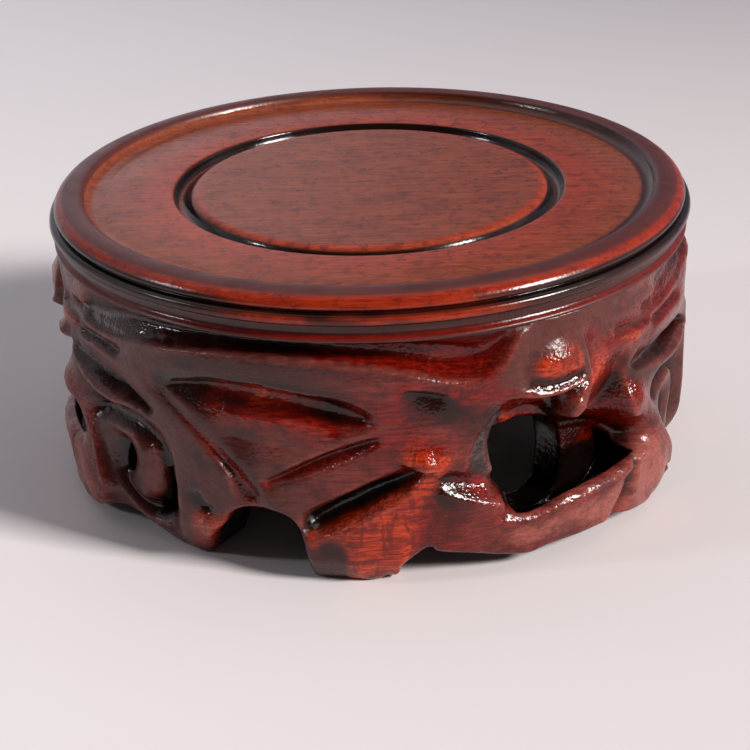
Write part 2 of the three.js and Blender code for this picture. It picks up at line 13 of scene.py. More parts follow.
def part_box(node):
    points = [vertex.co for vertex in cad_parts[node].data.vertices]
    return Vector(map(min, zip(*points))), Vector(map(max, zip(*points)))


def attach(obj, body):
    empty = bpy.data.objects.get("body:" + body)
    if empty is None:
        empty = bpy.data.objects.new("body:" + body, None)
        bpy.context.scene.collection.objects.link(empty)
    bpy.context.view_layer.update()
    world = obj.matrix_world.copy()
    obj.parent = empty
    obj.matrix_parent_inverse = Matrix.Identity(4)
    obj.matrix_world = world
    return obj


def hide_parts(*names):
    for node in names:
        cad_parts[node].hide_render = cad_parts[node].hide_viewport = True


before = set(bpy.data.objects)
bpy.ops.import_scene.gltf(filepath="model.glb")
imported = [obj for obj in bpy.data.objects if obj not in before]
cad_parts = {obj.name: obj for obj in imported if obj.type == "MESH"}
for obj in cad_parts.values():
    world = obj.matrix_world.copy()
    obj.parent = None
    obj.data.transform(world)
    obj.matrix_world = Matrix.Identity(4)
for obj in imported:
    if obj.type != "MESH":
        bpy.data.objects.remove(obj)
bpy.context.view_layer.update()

MM = 0.001
RING_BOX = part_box("carved_ring")
BOARD_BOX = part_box("top_board")
STAND_HEIGHT = BOARD_BOX[1][2] / MM
JOINT_HEIGHT = RING_BOX[1][2] / MM
BORE_RADIUS = 37.0

# The camera, as fitted to the board's ellipses in the photograph
CAMERA_DISTANCE = 319.4
CAMERA_ELEVATION = 19.64
CAMERA_AIM_HEIGHT = 44.0
CAMERA_ROLL = -1.82
CAMERA_PAN = 0.17
CAMERA_TILT = -5.38
CAMERA_LENS = 96.0
CAMERA_SENSOR = 36.0
CAMERA_NEAR_CLIP = 0.01  # in metres

# The lights: place, width and height, watts, colour. Both are aimed at the stand.
LIGHT_AIM = (0, 0, 0.02)
LIGHTS = {
    "window": ((3.04, -1.54, 2.04), (0.84, 0.84), 210, (1.0, 0.97, 0.93)),
    "far_window": ((-1.5, -0.3, 0.85), (0.14, 0.16), 4, (0.93, 0.96, 1.0)),
}
# The room's glow: dim towards the viewer (-Y), and brighter behind the stand
ROOM_COLOUR = (0.91, 0.91, 0.94, 1)
ROOM_GLOW = {"From Min": -0.45, "From Max": 0.7, "To Min": 0.06, "To Max": 0.84}

# The sweep under and behind the stand, and its paper's colours in 0 to 255, with painted shade: darker to the right and
# further back
SWEEP_FLAT_TO = 0.9
SWEEP_FRONT = -1.6
SWEEP_BEND = 0.5
SWEEP_HEIGHT = 2.2
SWEEP_HALF_WIDTH = 3.0
PAPER_NEAR_SHADED = ((244, 237, 239), (226, 218, 219))  # left, right
PAPER_FAR_SHADED = ((212, 211, 221), (116, 114, 128))
PAPER_SHADE_LEFT_TO_RIGHT = (-0.25, 0.18)
PAPER_SHADE_NEAR_TO_FAR = (-0.05, 0.6)

# The carving is one motif, repeated round the ring. Its field of cells is columns round, rows up, layers out.
MOTIF_COUNT = 3
MOTIF_PITCH = 360.0 / MOTIF_COUNT
TURNS = (-MOTIF_PITCH, 0, MOTIF_PITCH)
WALL_RADIUS = 48.0  # where the wall is unrolled
FIELD_COLUMNS = 360
FIELD_LOW = -0.8
FIELD_STEP = 0.27
FIELD_ROWS = 149
DEPTH_LOW = 36.1
DEPTH_STEP = 0.29
DEPTH_LAYERS = 58
LINE_REACH = 0.75 * FIELD_STEP  # added to each half width, so that a thin line still covers cells
LINE_MARGIN = 2  # a line further than this from the motif's field doesn't reach it
LINE_PIECES, OPENING_PIECES, EDGE_PIECES = 6, 5, 4  # straight pieces between two points of a curve
RELIEF_CELLS, TONE_CELLS = (8, 4, 2, 1), (8, 4, 2)  # cells to a side, from the coarse stretch to the fine one
RELAX_PASSES = 160
RELIEF_BLUR, TONE_BLUR = 2, 1
STEEPEST_SLOPE = 3
EDGE_ROUNDING, OPENING_ROUNDING, BORE_ROUNDING = 1.1, 0.8, 1.0
HAND_CUT = ((0.1, (22, 9), 4), (0.05, (60, 24), 8))  # unevenness: height, bumps round and up, seed

# Where the ring's colour leaves the tones of its lines: redder at the right, pink on crests as wear with a painted
# highlight, and black as painted shade in creases and depths. A crease is how far the relief lies under its blurred
# self.
WARM_ANGLES, WARM_HEIGHTS, WARM_MOST = (48, 86, 14), (27, 36, 4), 0.6  # from, to, softness
CREASE_BLUR = 14
# Painted shade in creases: from, over, most
CREASE_SHADE_FROM, CREASE_SHADE_OVER, CREASE_SHADE_MOST = 0.18, 0.45, 0.5
# Wear and painted highlight on crests: from, over, most
CREST_WEAR_AND_HIGHLIGHT_FROM, CREST_WEAR_AND_HIGHLIGHT_OVER, CREST_WEAR_AND_HIGHLIGHT_MOST = 0.18, 0.5, 0.35
# Painted shade in depths: from the bore, under the relief, and the distance it grows over
SHADE_FROM_BORE, SHADE_UNDER_RELIEF, SHADE_OVER = 4.5, 1, 2

# The board's profile. A curve is its control point, its end point and its number of straight pieces.
BOARD_SIDES = 288
# Spigot and seat, as heights above the joint
SPIGOT = [(0, -3), (36.2, -3), (36.7, -2.5), (36.7, 0), (49.2, 0)]
# Red line, cove, lower bead, groove, upper bead and shoulder, as heights above the joint
EDGE_CURVES = [
    ((50.5, 0.05), (49.9, 0.6), 6),
    ((49.3, 0.9), (49.3, 1.6), 6),
    ((49.3, 2.6), (49.9, 2.75), 6),
    ((50.5, 2.8), (50.6, 3.3), 6),
    ((50.6, 4.15), (49.9, 4.3), 8),
    ((49.2, 4.35), (49.2, 4.45), 3),
    ((49.2, 4.6), (49.5, 4.7), 3),
    ((49.95, 5), (49.6, 5.6), 6),
    ((49.3, 6.2), (48.5, 6.55), 6),
]
# Lip, sunk ring, groove and centre field, as heights from the top
TOP_CURVES = [
    ((47.8, -0.1), (46.8, 0), 5),
    ((45.9, 0.05), (45.4, -0.15), 5),
    ((45.1, -0.3), (44.9, -0.8), 4),
    ((44.5, -1.5), (43.4, -1.6), 8),
    ((42.6, -1.6), (41.6, -1.4), 6),
    ((31.4, -1.4), (31.4, -1.4), 1),
    ((30.9, -1.4), (30.8, -1.75), 5),
    ((30.5, -3.1), (29.8, -3.1), 8),
    ((28.9, -3), (28.5, -2.3), 8),
    ((28, -1.4), (26.8, -1.4), 10),
]
CENTRE_FIELD = [(26, -1.4), (22, -1.4), (16, -1.4), (8, -1.4)]
# Bands of its stain and painted shade, as from, to and softness: on the edge by height above the joint, on the top by
# distance out
EDGE_BANDS = {"beads": (2.6, 5.6, 0.3), "groove": (4.1, 4.8, 0.25), "rim_line": (5.7, 6.5, 0.3),
              "cove": (0.8, 2.6, 0.4), "red_line": (0.6, 1.0, 0.2)}
TOP_BANDS = {"channel": (28.4, 30.9, 0.4), "inner_shoulder": (26.9, 28.2, 0.6), "outer_shoulder": (31, 32, 0.6),
             "dip": (43, 45.1, 0.6)}
WORN_FRONT, SHADED_DIP = (-24, 24, 14), (20, 170, 40)  # angles

# Lines of the carving at known distances out, over one motif. Each point is [angle, height, out, half width].
# The surface is stretched between them, so a narrow line is a crest or the bottom of a groove, and a wide
# one is a rounded back or a hollow's floor.
LINES = {
    # Under the board: a long flute, the branch below it, and the shoulder beside the knuckle
    "top": [(-60, 39.4, 49.1, 0), (60, 39.4, 49.1, 0)],
    "under_board": [(-60, 38.8, 49.1, 0.1), (26, 38.8, 49.1, 0.1)],
    "flute_floor": [(-66, 34.8, 48.4, 0.3), (-58, 35.2, 48, 0.4), (-48, 36.8, 48, 0.2), (-38, 37.2, 47.4, 0.4),
                    (-29, 37.3, 46.8, 0.4), (-19, 37.4, 46.6, 0.5), (-8, 37.1, 46.2, 0.8), (2, 36.4, 45.8, 1.1),
                    (8, 35.7, 45.7, 1.3), (13, 35.1, 46, 1.2), (17, 35, 46.8, 0.5), (19.4, 35.8, 47.7, 0.3),
                    (22, 37.3, 48.2, 0.1)],
    "branch_crest": [(-74, 32.2, 48.8, 0.3), (-65, 32.2, 49.4, 0.1), (-58.3, 32.2, 49.6, 0.1),
                     (-49.4, 32.7, 49.8, 0.1), (-45, 33.9, 49.9, 0.1), (-38, 34.8, 50.5, 0.1), (-29, 35.6, 50, 0.1),
                     (-19, 36, 49.8, 0.1), (-10, 35.6, 49.7, 0.1), (0, 34.5, 49.6, 0.1), (7, 33.2, 49.7, 0.1),
                     (12.4, 31.9, 49.8, 0.1), (17.9, 31.7, 50, 0.1)],
    "branch_back": [(-45, 31.6, 50.2, 0.8), (-38, 32.6, 50.3, 0.8), (-29, 33.8, 50.2, 0.7), (-19, 34, 50, 0.6),
                    (-8, 33, 49.9, 0.6), (2, 31.9, 49.8, 0.4)],
    "wedge_floor": [(-62, 30.6, 49, 0.1), (-55.9, 30.9, 48.6, 0.1), (-50, 31, 49, 0.1)],
    "lower_strand": [(-71, 26.9, 49.6, 0.3), (-68, 29.2, 49.8, 0.3), (-60, 30, 50.2, 0.3), (-52, 29.8, 50.3, 0.5),
                     (-46, 29.2, 50.3, 0.6)],
    "leaf_end": [(17.9, 31.7, 50.1, 0), (21.7, 34.3, 50.4, 0), (23.6, 36.9, 50.1, 0), (27.4, 38.8, 49.4, 0)],
    "leaf_face": [(22, 31, 50.4, 0.3), (24, 34.4, 50.2, 0.3), (28.5, 37.3, 49.5, 0.3)],
    "leaf_lip": [(3.8, 31.6, 49.8, 0.1), (7.4, 31.3, 49.8, 0.1), (11, 30.4, 49.8, 0.1), (15.5, 29.6, 50, 0.1),
                 (20.5, 28.9, 50.4, 0.1), (24.7, 28.4, 50.9, 0.1), (28, 27.7, 51.4, 0.1), (31.2, 27.8, 51.6, 0.1),
                 (35.1, 28.2, 51.6, 0.1), (37.8, 29.3, 51.3, 0.1)],
    "leaf_nick": [(5, 30.9, 48.8, 0.1), (8, 30.3, 48.4, 0.2), (11, 29.7, 48.8, 0.1)],
    "knuckle": [(28.8, 31.7, 51.1, 0.6), (31.5, 32.2, 51.4, 0.8), (34.2, 31.8, 51.2, 0.6)],
    "knuckle_right": [(37.8, 29.4, 51, 0.1), (37.2, 32, 50.7, 0.1), (36, 34.7, 50.1, 0.1)],
    "beside_knuckle": [(38.2, 34.6, 49, 0.1), (38.7, 31.6, 48.8, 0.1), (38.9, 29.2, 48.6, 0.1)],
    "shoulder": [(42, 36.6, 49.6, 0.8), (50, 35.6, 49.6, 0.8), (58, 35.2, 49.4, 0.6)],
    "shoulder_bulge": [(45, 31.6, 49.9, 0.4), (50, 31.4, 50.5, 0.8), (55, 31.8, 50.3, 0.5)],
    # Between the knuckle and the next motif's scroll: the tongue, the cave and its rim
    "tongue": [(39.3, 32.6, 49.2, 0.3), (41.2, 29.6, 49.3, 0.4), (41, 27.6, 49, 0.4), (38.4, 25.5, 49.8, 0.5),
               (36.2, 24.1, 50.8, 0.8), (35.2, 23, 50.4, 0.9)],
    "under_knuckle": [(25, 25.4, 47, 0.2), (28.5, 25.8, 46.6, 0.4), (31.8, 25.2, 46.4, 0.4), (33.6, 23.2, 46, 0.2)],
    "cave_dome": [(23.6, 22.8, 44.8, 0.3), (28.6, 23.4, 44.8, 0.5), (33.6, 21.4, 44.6, 0.3)],
    "over_ball": [(33.6, 26.4, 48.4, 0.2), (36.4, 26.8, 48.8, 0.2), (38.8, 27.1, 49, 0.2)],
    "beside_tongue": [(46.5, 28, 48.6, 0.2), (47.3, 25, 47.6, 0.3), (46.4, 22.6, 46.6, 0.3), (44.2, 19.9, 45.6, 0.4)],
    "cave_floor": [(26, 17.6, 43.6, 1.5), (32, 17, 43, 2), (38, 16.2, 43.2, 2), (44, 15.4, 43.4, 1.8),
                   (48.5, 14.4, 44, 1.4), (51.6, 13, 45.6, 0.6)],
    "cave_rim": [(47.9, 25.6, 49, 0.3), (48.8, 23.4, 49.9, 0.5), (49.8, 20.8, 51.3, 1.3), (50.6, 19.2, 51.2, 1.2),
                 (54, 17.2, 50.5, 0.2), (58.6, 14.4, 50.7, 0.2), (61.6, 11, 51.1, 0.2), (63.4, 7.8, 51.4, 0.3),
                 (63.4, 4, 51.2, 0.3), (62.6, 1.8, 50.4, 0.3)],
    "lobe": [(53, 10.8, 51.2, 0.3), (57.5, 8.6, 51.6, 0.6), (58.5, 4.8, 51.4, 0.6), (58, 1.2, 50.2, 0.5)],
    # The arm along the bottom
    "arm_root": [(10.6, 14.3, 49.8, 0.2), (14, 13, 49.9, 0.2), (18, 11.8, 50, 0.2), (22, 10.8, 49.6, 0.2)],
    "arm_crest": [(18.3, 8.7, 50.3, 0.1), (22.5, 8.1, 50.5, 0.1), (27.6, 8, 50.7, 0.1), (31.3, 8.9, 51, 0.1),
                  (35, 9.2, 51.1, 0.1), (38.9, 9.4, 51.2, 0.1), (44.2, 9.6, 51.3, 0.1), (49.5, 9.9, 51.3, 0.1)],
    "arm_bevel": [(22.5, 8.9, 50, 0.1), (27.6, 8.9, 50.1, 0.1), (31.3, 9.8, 50.4, 0.1), (35, 10.1, 50.5, 0.1),
                  (38.9, 10.3, 50.6, 0.1), (44.2, 10.5, 50.7, 0.1), (49.5, 10.8, 50.7, 0.1)],
    "arm_inner": [(22, 10.9, 47.4, 0.2), (28, 10.3, 45, 0.2), (34, 11.3, 44.4, 0.2), (42, 11.8, 44.4, 0.2),
                  (48, 12.1, 45, 0.2), (51, 12.3, 47, 0.1)],
    "arm_face": [(24, 5.6, 50.2, 0.3), (32, 5.9, 50.6, 0.4), (39, 6.4, 50.8, 0.4)],
    "arm_low": [(7.4, 5.2, 49, 0.1), (15.3, 4, 49.4, 0.1), (25.3, 2.6, 50, 0.1), (33, 2.5, 50.3, 0.1),
                (41.5, 2.6, 50.5, 0.1)],
    "arm_nick": [(50.4, 11, 50.4, 0), (48.4, 7.6, 49.7, 0.05), (46.6, 4.8, 49.4, 0.05), (45, 2.4, 49.4, 0.05)],
    "nick_right": [(51.4, 10.6, 51.3, 0.1), (50, 6.8, 51.2, 0.1), (49, 2.6, 50.8, 0.1)],
    "nick_left": [(46.4, 7.6, 50.9, 0.1), (43.4, 4, 50.7, 0.1), (42, 2.6, 50.6, 0.1)],
    # The second flute, the drape and the fan of cuts under it
    "second_top": [(-38.1, 29.6, 49.7, 0.1), (-34.6, 30.6, 49.8, 0.1), (-30, 31.8, 49.8, 0.1), (-25, 32.1, 49.8, 0.1),
                   (-19.5, 32, 49.8, 0.1), (-13.7, 31.2, 49.7, 0.1), (-7.3, 30.7, 49.6, 0.1), (-2.1, 29, 49.5, 0.1),
                   (2.6, 26.2, 49.4, 0.1)],
    "second_low": [(-38.1, 28.9, 49.6, 0.1), (-36.3, 28.3, 49.5, 0.1), (-31.9, 27.4, 49.3, 0.1),
                   (-27.5, 26.6, 49.2, 0.1), (-20.5, 26, 49.1, 0.1), (-14.2, 25.6, 49.1, 0.1), (-9.4, 24.8, 49.1, 0.1),
                   (-6.8, 23.9, 49.1, 0.1)],
    "second_floor": [(-36.5, 29.3, 49, 0.1), (-32, 29.8, 48, 0.2), (-26, 29.6, 47, 0.5), (-20, 29.1, 46.4, 0.7),
                     (-13, 28.3, 46.2, 0.8), (-7, 27.2, 46.3, 0.8), (-2.5, 26.4, 47.2, 0.4)],
    "thin_crest": [(-6.8, 23.6, 49.1, 0.1), (-0.8, 25.1, 49.4, 0.1), (2.6, 25.8, 49.4, 0.1)],
    "drape": [(-24, 23, 49, 0.4), (-16, 22.5, 48.8, 0.3)],
    "fan_up": [(2.6, 25, 49.4, 0.1), (-2.4, 23.9, 49.3, 0.1), (-6.9, 22.6, 49.2, 0.1), (-13.7, 19.6, 49.2, 0.1),
               (-20.2, 16.1, 49.6, 0)],
    "fan_floor": [(0, 23.6, 48.4, 0), (-4, 22, 47.4, 0.1), (-9, 20.2, 46.9, 0.2), (-14, 18.1, 47.4, 0.1),
                  (-19, 16.2, 48.8, 0)],
    "fan_low": [(2.1, 23.4, 49.3, 0.1), (-5.5, 19.8, 49, 0.1), (-11.6, 17.5, 49.1, 0.1), (-19, 15.4, 49.6, 0)],
    "deep_up": [(6, 19.4, 49, 0.1), (0, 17.8, 49, 0.1), (-5, 15.7, 49.1, 0.1), (-10, 13.5, 49.2, 0.1),
                (-14.4, 11.7, 49.6, 0.1)],
    "deep_floor": [(7, 18, 47.6, 0.3), (4.4, 16.2, 46.2, 0.5), (-1, 14.2, 45.4, 0.6), (-6, 12, 45.2, 0.6),
                   (-10.5, 10, 45.8, 0.5), (-12.6, 9, 47.5, 0.2)],
    # The front foot, and the post above it
    "foot_top": [(-12.3, 7.2, 49.9, 0.1), (-7.3, 9.1, 50.1, 0.1), (-3.1, 10.8, 50.2, 0.1), (0.4, 12.7, 50.1, 0.1),
                 (4.2, 14.6, 49.9, 0.1), (6.5, 16.2, 49.5, 0.2), (8.6, 18.4, 49.3, 0.2)],
    "foot_ridge": [(-4.3, 9.4, 50.5, 0.1), (-4.2, 5, 50.3, 0.1), (-4.2, 2, 49.2, 0.1), (-4.2, 0, 47.6, 0.1)],
    "foot_left": [(-8.2, 6, 50, 1.2), (-8.2, 4.4, 49.8, 1.5), (-8.2, 2, 48.7, 1.5), (-8.2, 0, 47.2, 1.5)],
    "foot_right": [(4, 10, 49.9, 0.3), (3, 5, 49.7, 0.3), (2, 2, 48.6, 0.2), (1.4, 0.2, 47, 0.2)],
    "foot_side": [(8.6, 12.5, 49.4, 0.3), (8, 8, 49.2, 0.3), (7.4, 5.4, 49, 0.2)],
    "post": [(12.5, 28.4, 49.5, 0.4), (10.8, 25.4, 49.4, 0.4), (9.4, 22.4, 49.5, 0.4)],
    "post_knob": [(5.6, 19.8, 50.2, 0.6), (8, 19.2, 51, 0.7), (10, 18.2, 50.2, 0.6)],
    "bevel_left": [(20.4, 26.4, 49.4, 0.1), (18.6, 24.6, 49.2, 0.1), (16.2, 22.4, 49.2, 0.1), (14.8, 19.8, 49.2, 0.1),
                   (14.6, 17.4, 49.2, 0.1)],
    "bevel_face": [(20.5, 25.2, 48.3, 0.4), (18.8, 22.6, 48.1, 0.6), (17.7, 20, 48.1, 0.8), (17.6, 17.8, 48.1, 0.8)],
    "bevel_right": [(21.4, 24.8, 47.6, 0.1), (19.8, 21.6, 47.2, 0.1), (19.6, 18.4, 47.2, 0.1),
                    (20.4, 15.8, 47.4, 0.1)],
    "root_hollow": [(11, 16.6, 48.6, 0.3), (14.5, 15.6, 48, 0.4), (18, 14.4, 47.6, 0.3)],
    # The scroll, and the strand that comes down beside it
    "gully_up": [(-64, 27.4, 49.8, 0.1), (-57, 27.8, 49.8, 0.1), (-49, 27.3, 50, 0.1), (-44.5, 25.9, 50.1, 0.1),
                 (-40.4, 24.2, 50.2, 0.1)],
    "gully_floor": [(-69, 25.8, 48.9, 0.2), (-62, 25.6, 48, 0.4), (-56, 25.4, 47.4, 0.6), (-50, 25.2, 47.2, 0.6),
                    (-45, 24.6, 47.8, 0.3), (-41.5, 23.6, 49, 0.1)],
    "scroll_outer": [(-71, 25, 49.6, 0.3), (-68.4, 24.5, 50, 0.3), (-61.2, 23.6, 50.5, 0.2), (-52.5, 23.2, 50.8, 0.2),
                     (-46.5, 23.9, 50.8, 0.15), (-42.2, 23.4, 50.7, 0.15), (-39.1, 22.4, 50.6, 0.15),
                     (-37.3, 20.8, 50.5, 0.15), (-36, 18.4, 50.5, 0.2), (-35.4, 14, 50.5, 0.3), (-35.4, 9, 50.5, 0.4),
                     (-36, 5.5, 50, 0.4), (-37, 3, 48.6, 0.4), (-38, 1, 46.8, 0.4), (-38.2, 0, 46.2, 0.4)],
    "scroll_channel": [(-59.6, 18.4, 47.4, 0.25), (-57, 19.4, 47, 0.4), (-53.7, 19.5, 47, 0.5),
                       (-49.5, 19.6, 47, 0.6), (-45.4, 18.6, 46.9, 0.6), (-42.4, 16.6, 46.7, 0.6),
                       (-41.2, 13.9, 46.4, 0.7), (-41.2, 9.4, 46, 0.8), (-43, 6.4, 46, 0.6), (-45.6, 5.3, 46.8, 0.3)],
    "eye_floor": [(-52.4, 14.8, 47, 0.3), (-51.8, 12.4, 46.6, 0.4), (-52.6, 10.6, 46.8, 0.3)],
    "strand_crest": [(-41, 28.6, 50, 0.1), (-39.5, 27.5, 50.1, 0.1), (-33.8, 24.2, 50.4, 0.1), (-30.4, 21.7, 50.5, 0.1),
                     (-27, 18.4, 50.6, 0.1), (-25.3, 16.6, 50.6, 0.1), (-25.4, 14, 50.4, 0.2)],
    "strand_back": [(-44, 28, 50.3, 0.6), (-38.5, 24.6, 50.5, 0.6), (-34, 20, 50.6, 0.6), (-31, 16, 50.6, 0.6),
                    (-30, 12, 50.4, 0.5)],
    "strand_groove": [(-39.6, 27.9, 49.9, 0), (-34.9, 25.2, 49.9, 0.05), (-30.8, 22.1, 49.8, 0.1),
                      (-27.3, 19.2, 49.5, 0.15), (-24.2, 16.3, 49.1, 0.25), (-21.8, 13.8, 48.8, 0.3)],
    "drape_crest": [(-38.1, 28.7, 49.7, 0.1), (-33.3, 26.3, 49.9, 0.1), (-27.8, 22.8, 50, 0.1), (-23.1, 19, 50.1, 0.1),
                    (-19.5, 15.4, 50.1, 0.1), (-18.6, 13.6, 50.1, 0.1), (-14.7, 11.1, 50.1, 0.1), (-13, 9, 50, 0.1),
                    (-12.2, 5, 49.8, 0.1), (-12, 2, 48.6, 0.1), (-12, 0, 47, 0.1)],
    "toe_dent": [(-32, 12, 49.6, 0.3), (-30.4, 10.6, 49.2, 0.3)],
    "toe": [(-31.6, 14.6, 50.5, 0.5), (-33, 13.6, 50.4, 0.2)],
    "toe_foot": [(-30.6, 8, 50.4, 0.5), (-32, 4.5, 49, 0.6), (-32.6, 2.2, 47.4, 0.6), (-33.4, 0, 46.2, 0.6)],
    # Later lines: the window's left side, the upper flute's lower edge, the scroll's petal and its left side,
    # and the knuckle's outline. Where two lines meet, the first one drawn keeps the cell.
    "hole_left": [(22.8, 24, 44.4, 0.2), (21.6, 21, 43.8, 0.3), (21.6, 18, 43.8, 0.3), (22.4, 15, 43.8, 0.3),
                  (24, 12.6, 44, 0.3)],
    "flute_low": [(-60, 33.3, 48.4, 0.1), (-49.4, 34.2, 49, 0.1), (-45, 35, 49.1, 0.1), (-38, 35.7, 48.6, 0.1),
                  (-29, 36.4, 48.2, 0.1), (-19, 36.8, 48, 0.1), (-10, 36.5, 47.8, 0.1), (0, 35.5, 47.4, 0.1),
                  (7, 34.3, 47.3, 0.1), (12.4, 33.1, 47.6, 0.1), (16.5, 33, 48, 0.1)],
    "petal_lip": [(-56.9, 16.8, 49, 0.1), (-53.4, 17.2, 49, 0.1), (-48.7, 17.3, 49, 0.15), (-47.1, 15.7, 48.9, 0.15),
                  (-46.5, 14.2, 48.9, 0.15), (-47.7, 11.8, 48.8, 0.15), (-50, 9.6, 48.6, 0.15)],
    "petal_right": [(-43.9, 16.2, 47.9, 0.1), (-43.4, 14.3, 47.8, 0.1), (-43.2, 11.5, 47.9, 0.1),
                    (-44.6, 8.7, 48.1, 0.15)],
    "petal_low": [(-50, 8.8, 48.6, 0.15), (-47.4, 7.6, 48.5, 0.2)],
    "petal_groove": [(-54, 9.6, 48, 0.05), (-51.2, 7.6, 48, 0.05), (-48.2, 6.1, 47.6, 0.1), (-45.6, 5.3, 46.8, 0.3)],
    "scroll_left": [(-58.4, 16.8, 49.2, 0.1), (-57.2, 13.4, 49.2, 0.1), (-55.2, 9.8, 49.2, 0.1),
                    (-52, 6.8, 49.2, 0.1), (-48.6, 4.8, 49, 0.1), (-45, 3.6, 48.4, 0.1), (-41.6, 3.8, 48.2, 0.15)],
    "scroll_sole": [(-57, 4.4, 50, 0.1), (-52, 4.5, 48.8, 0.1), (-48, 3.1, 48, 0.1), (-44, 1.5, 47, 0.1),
                    (-41, 0, 46.2, 0.1)],
    "knuckle_left": [(31.5, 36.2, 49.7, 0.1), (27, 34.8, 49.8, 0.1), (24.9, 32, 49.9, 0.1), (24.6, 29.8, 50.4, 0.1)],
    "knuckle_groove": [(26.6, 30.1, 50.4, 0.1), (28.8, 29.2, 50.5, 0.15), (32, 29.1, 50.6, 0.15),
                       (35.2, 29.6, 50.6, 0.1)],
}

# The lower edge of the wall over one motif, as (angle, height)
LOWER_EDGE = [(-60, 1.8), (-57.4, 3), (-53, 3.8), (-50, 3.3), (-46.3, 2), (-43.5, 0.8), (-41, 0), (-34.5, 0),
              (-32.8, 1.6), (-31.2, 4.2), (-29.9, 5.9), (-27.4, 8.2), (-26.3, 9.9), (-24, 11.2), (-20.7, 11.7),
              (-17, 11.5), (-14.6, 10.4), (-13.3, 8), (-12.6, 4), (-12.2, 0.4), (-11.6, 0), (1.6, 0), (3.9, 2.9),
              (7.4, 5.1), (8.8, 5.4), (10.1, 4.6), (15.3, 3.7), (25.3, 1.9), (29.6, 2.3), (39.3, 2.4), (45.6, 2.2),
              (51.7, 1.5), (57.3, 1)]
# Openings and pockets: the two distances out that each is cut between, and its outline as (angle, height)
OPENINGS = {
    "window": (30, 45.6, [(22, 20.4), (20.8, 17), (21, 13), (23, 9), (27.5, 6.2), (34, 5.4), (38.5, 7), (40, 12.4),
                          (38.4, 17.4), (33, 20.4), (27, 21.6)]),
    "behind_arm": (43.0, 49.2, [(23.5, 9.6), (27, 6.2), (34, 5.2), (42, 5.2), (48, 6.2), (51.4, 8.6), (51.6, 12),
                                (50, 14), (46, 15.6), (38, 16.6), (28, 16)]),
    "eye": (30, 47, [(-52.2, 15), (-50.4, 14.4), (-49.8, 12), (-51, 9.8), (-52.6, 9.4), (-53.4, 11), (-53.2, 13)]),
    "crescent": (30, 46.8, [(-40.8, 13.4), (-39.9, 10), (-40.4, 7), (-43.4, 5.2), (-45, 5.3), (-43.2, 7),
                            (-42.1, 9.6), (-41.9, 12.4)]),
}

# Stains and finishes: colour in 0 to 255, roughness, and how far the grain shows. Black and dark also serve as painted
# shade, and pink also as a painted highlight and a painted reflection of the pale floor.
PALETTE = {
    "dull": ((86, 37, 32), 0.34, 0.35),
    "brown": ((66, 26, 21), 0.3, 0.35),
    "wine": ((114, 38, 30), 0.2, 0.6),
    "pink": ((146, 74, 64), 0.32, 0.4),
    "red": ((118, 17, 6), 0.15, 0.8),
    "orange": ((176, 50, 14), 0.18, 1.0),
    "dark": ((46, 10, 5), 0.15, 0.5),
    "black": ((15, 7, 5), 0.15, 0.3),
    "grey": ((70, 54, 50), 0.45, 1.0),
    "board": ((136, 62, 34), 0.18, 0.8),
}
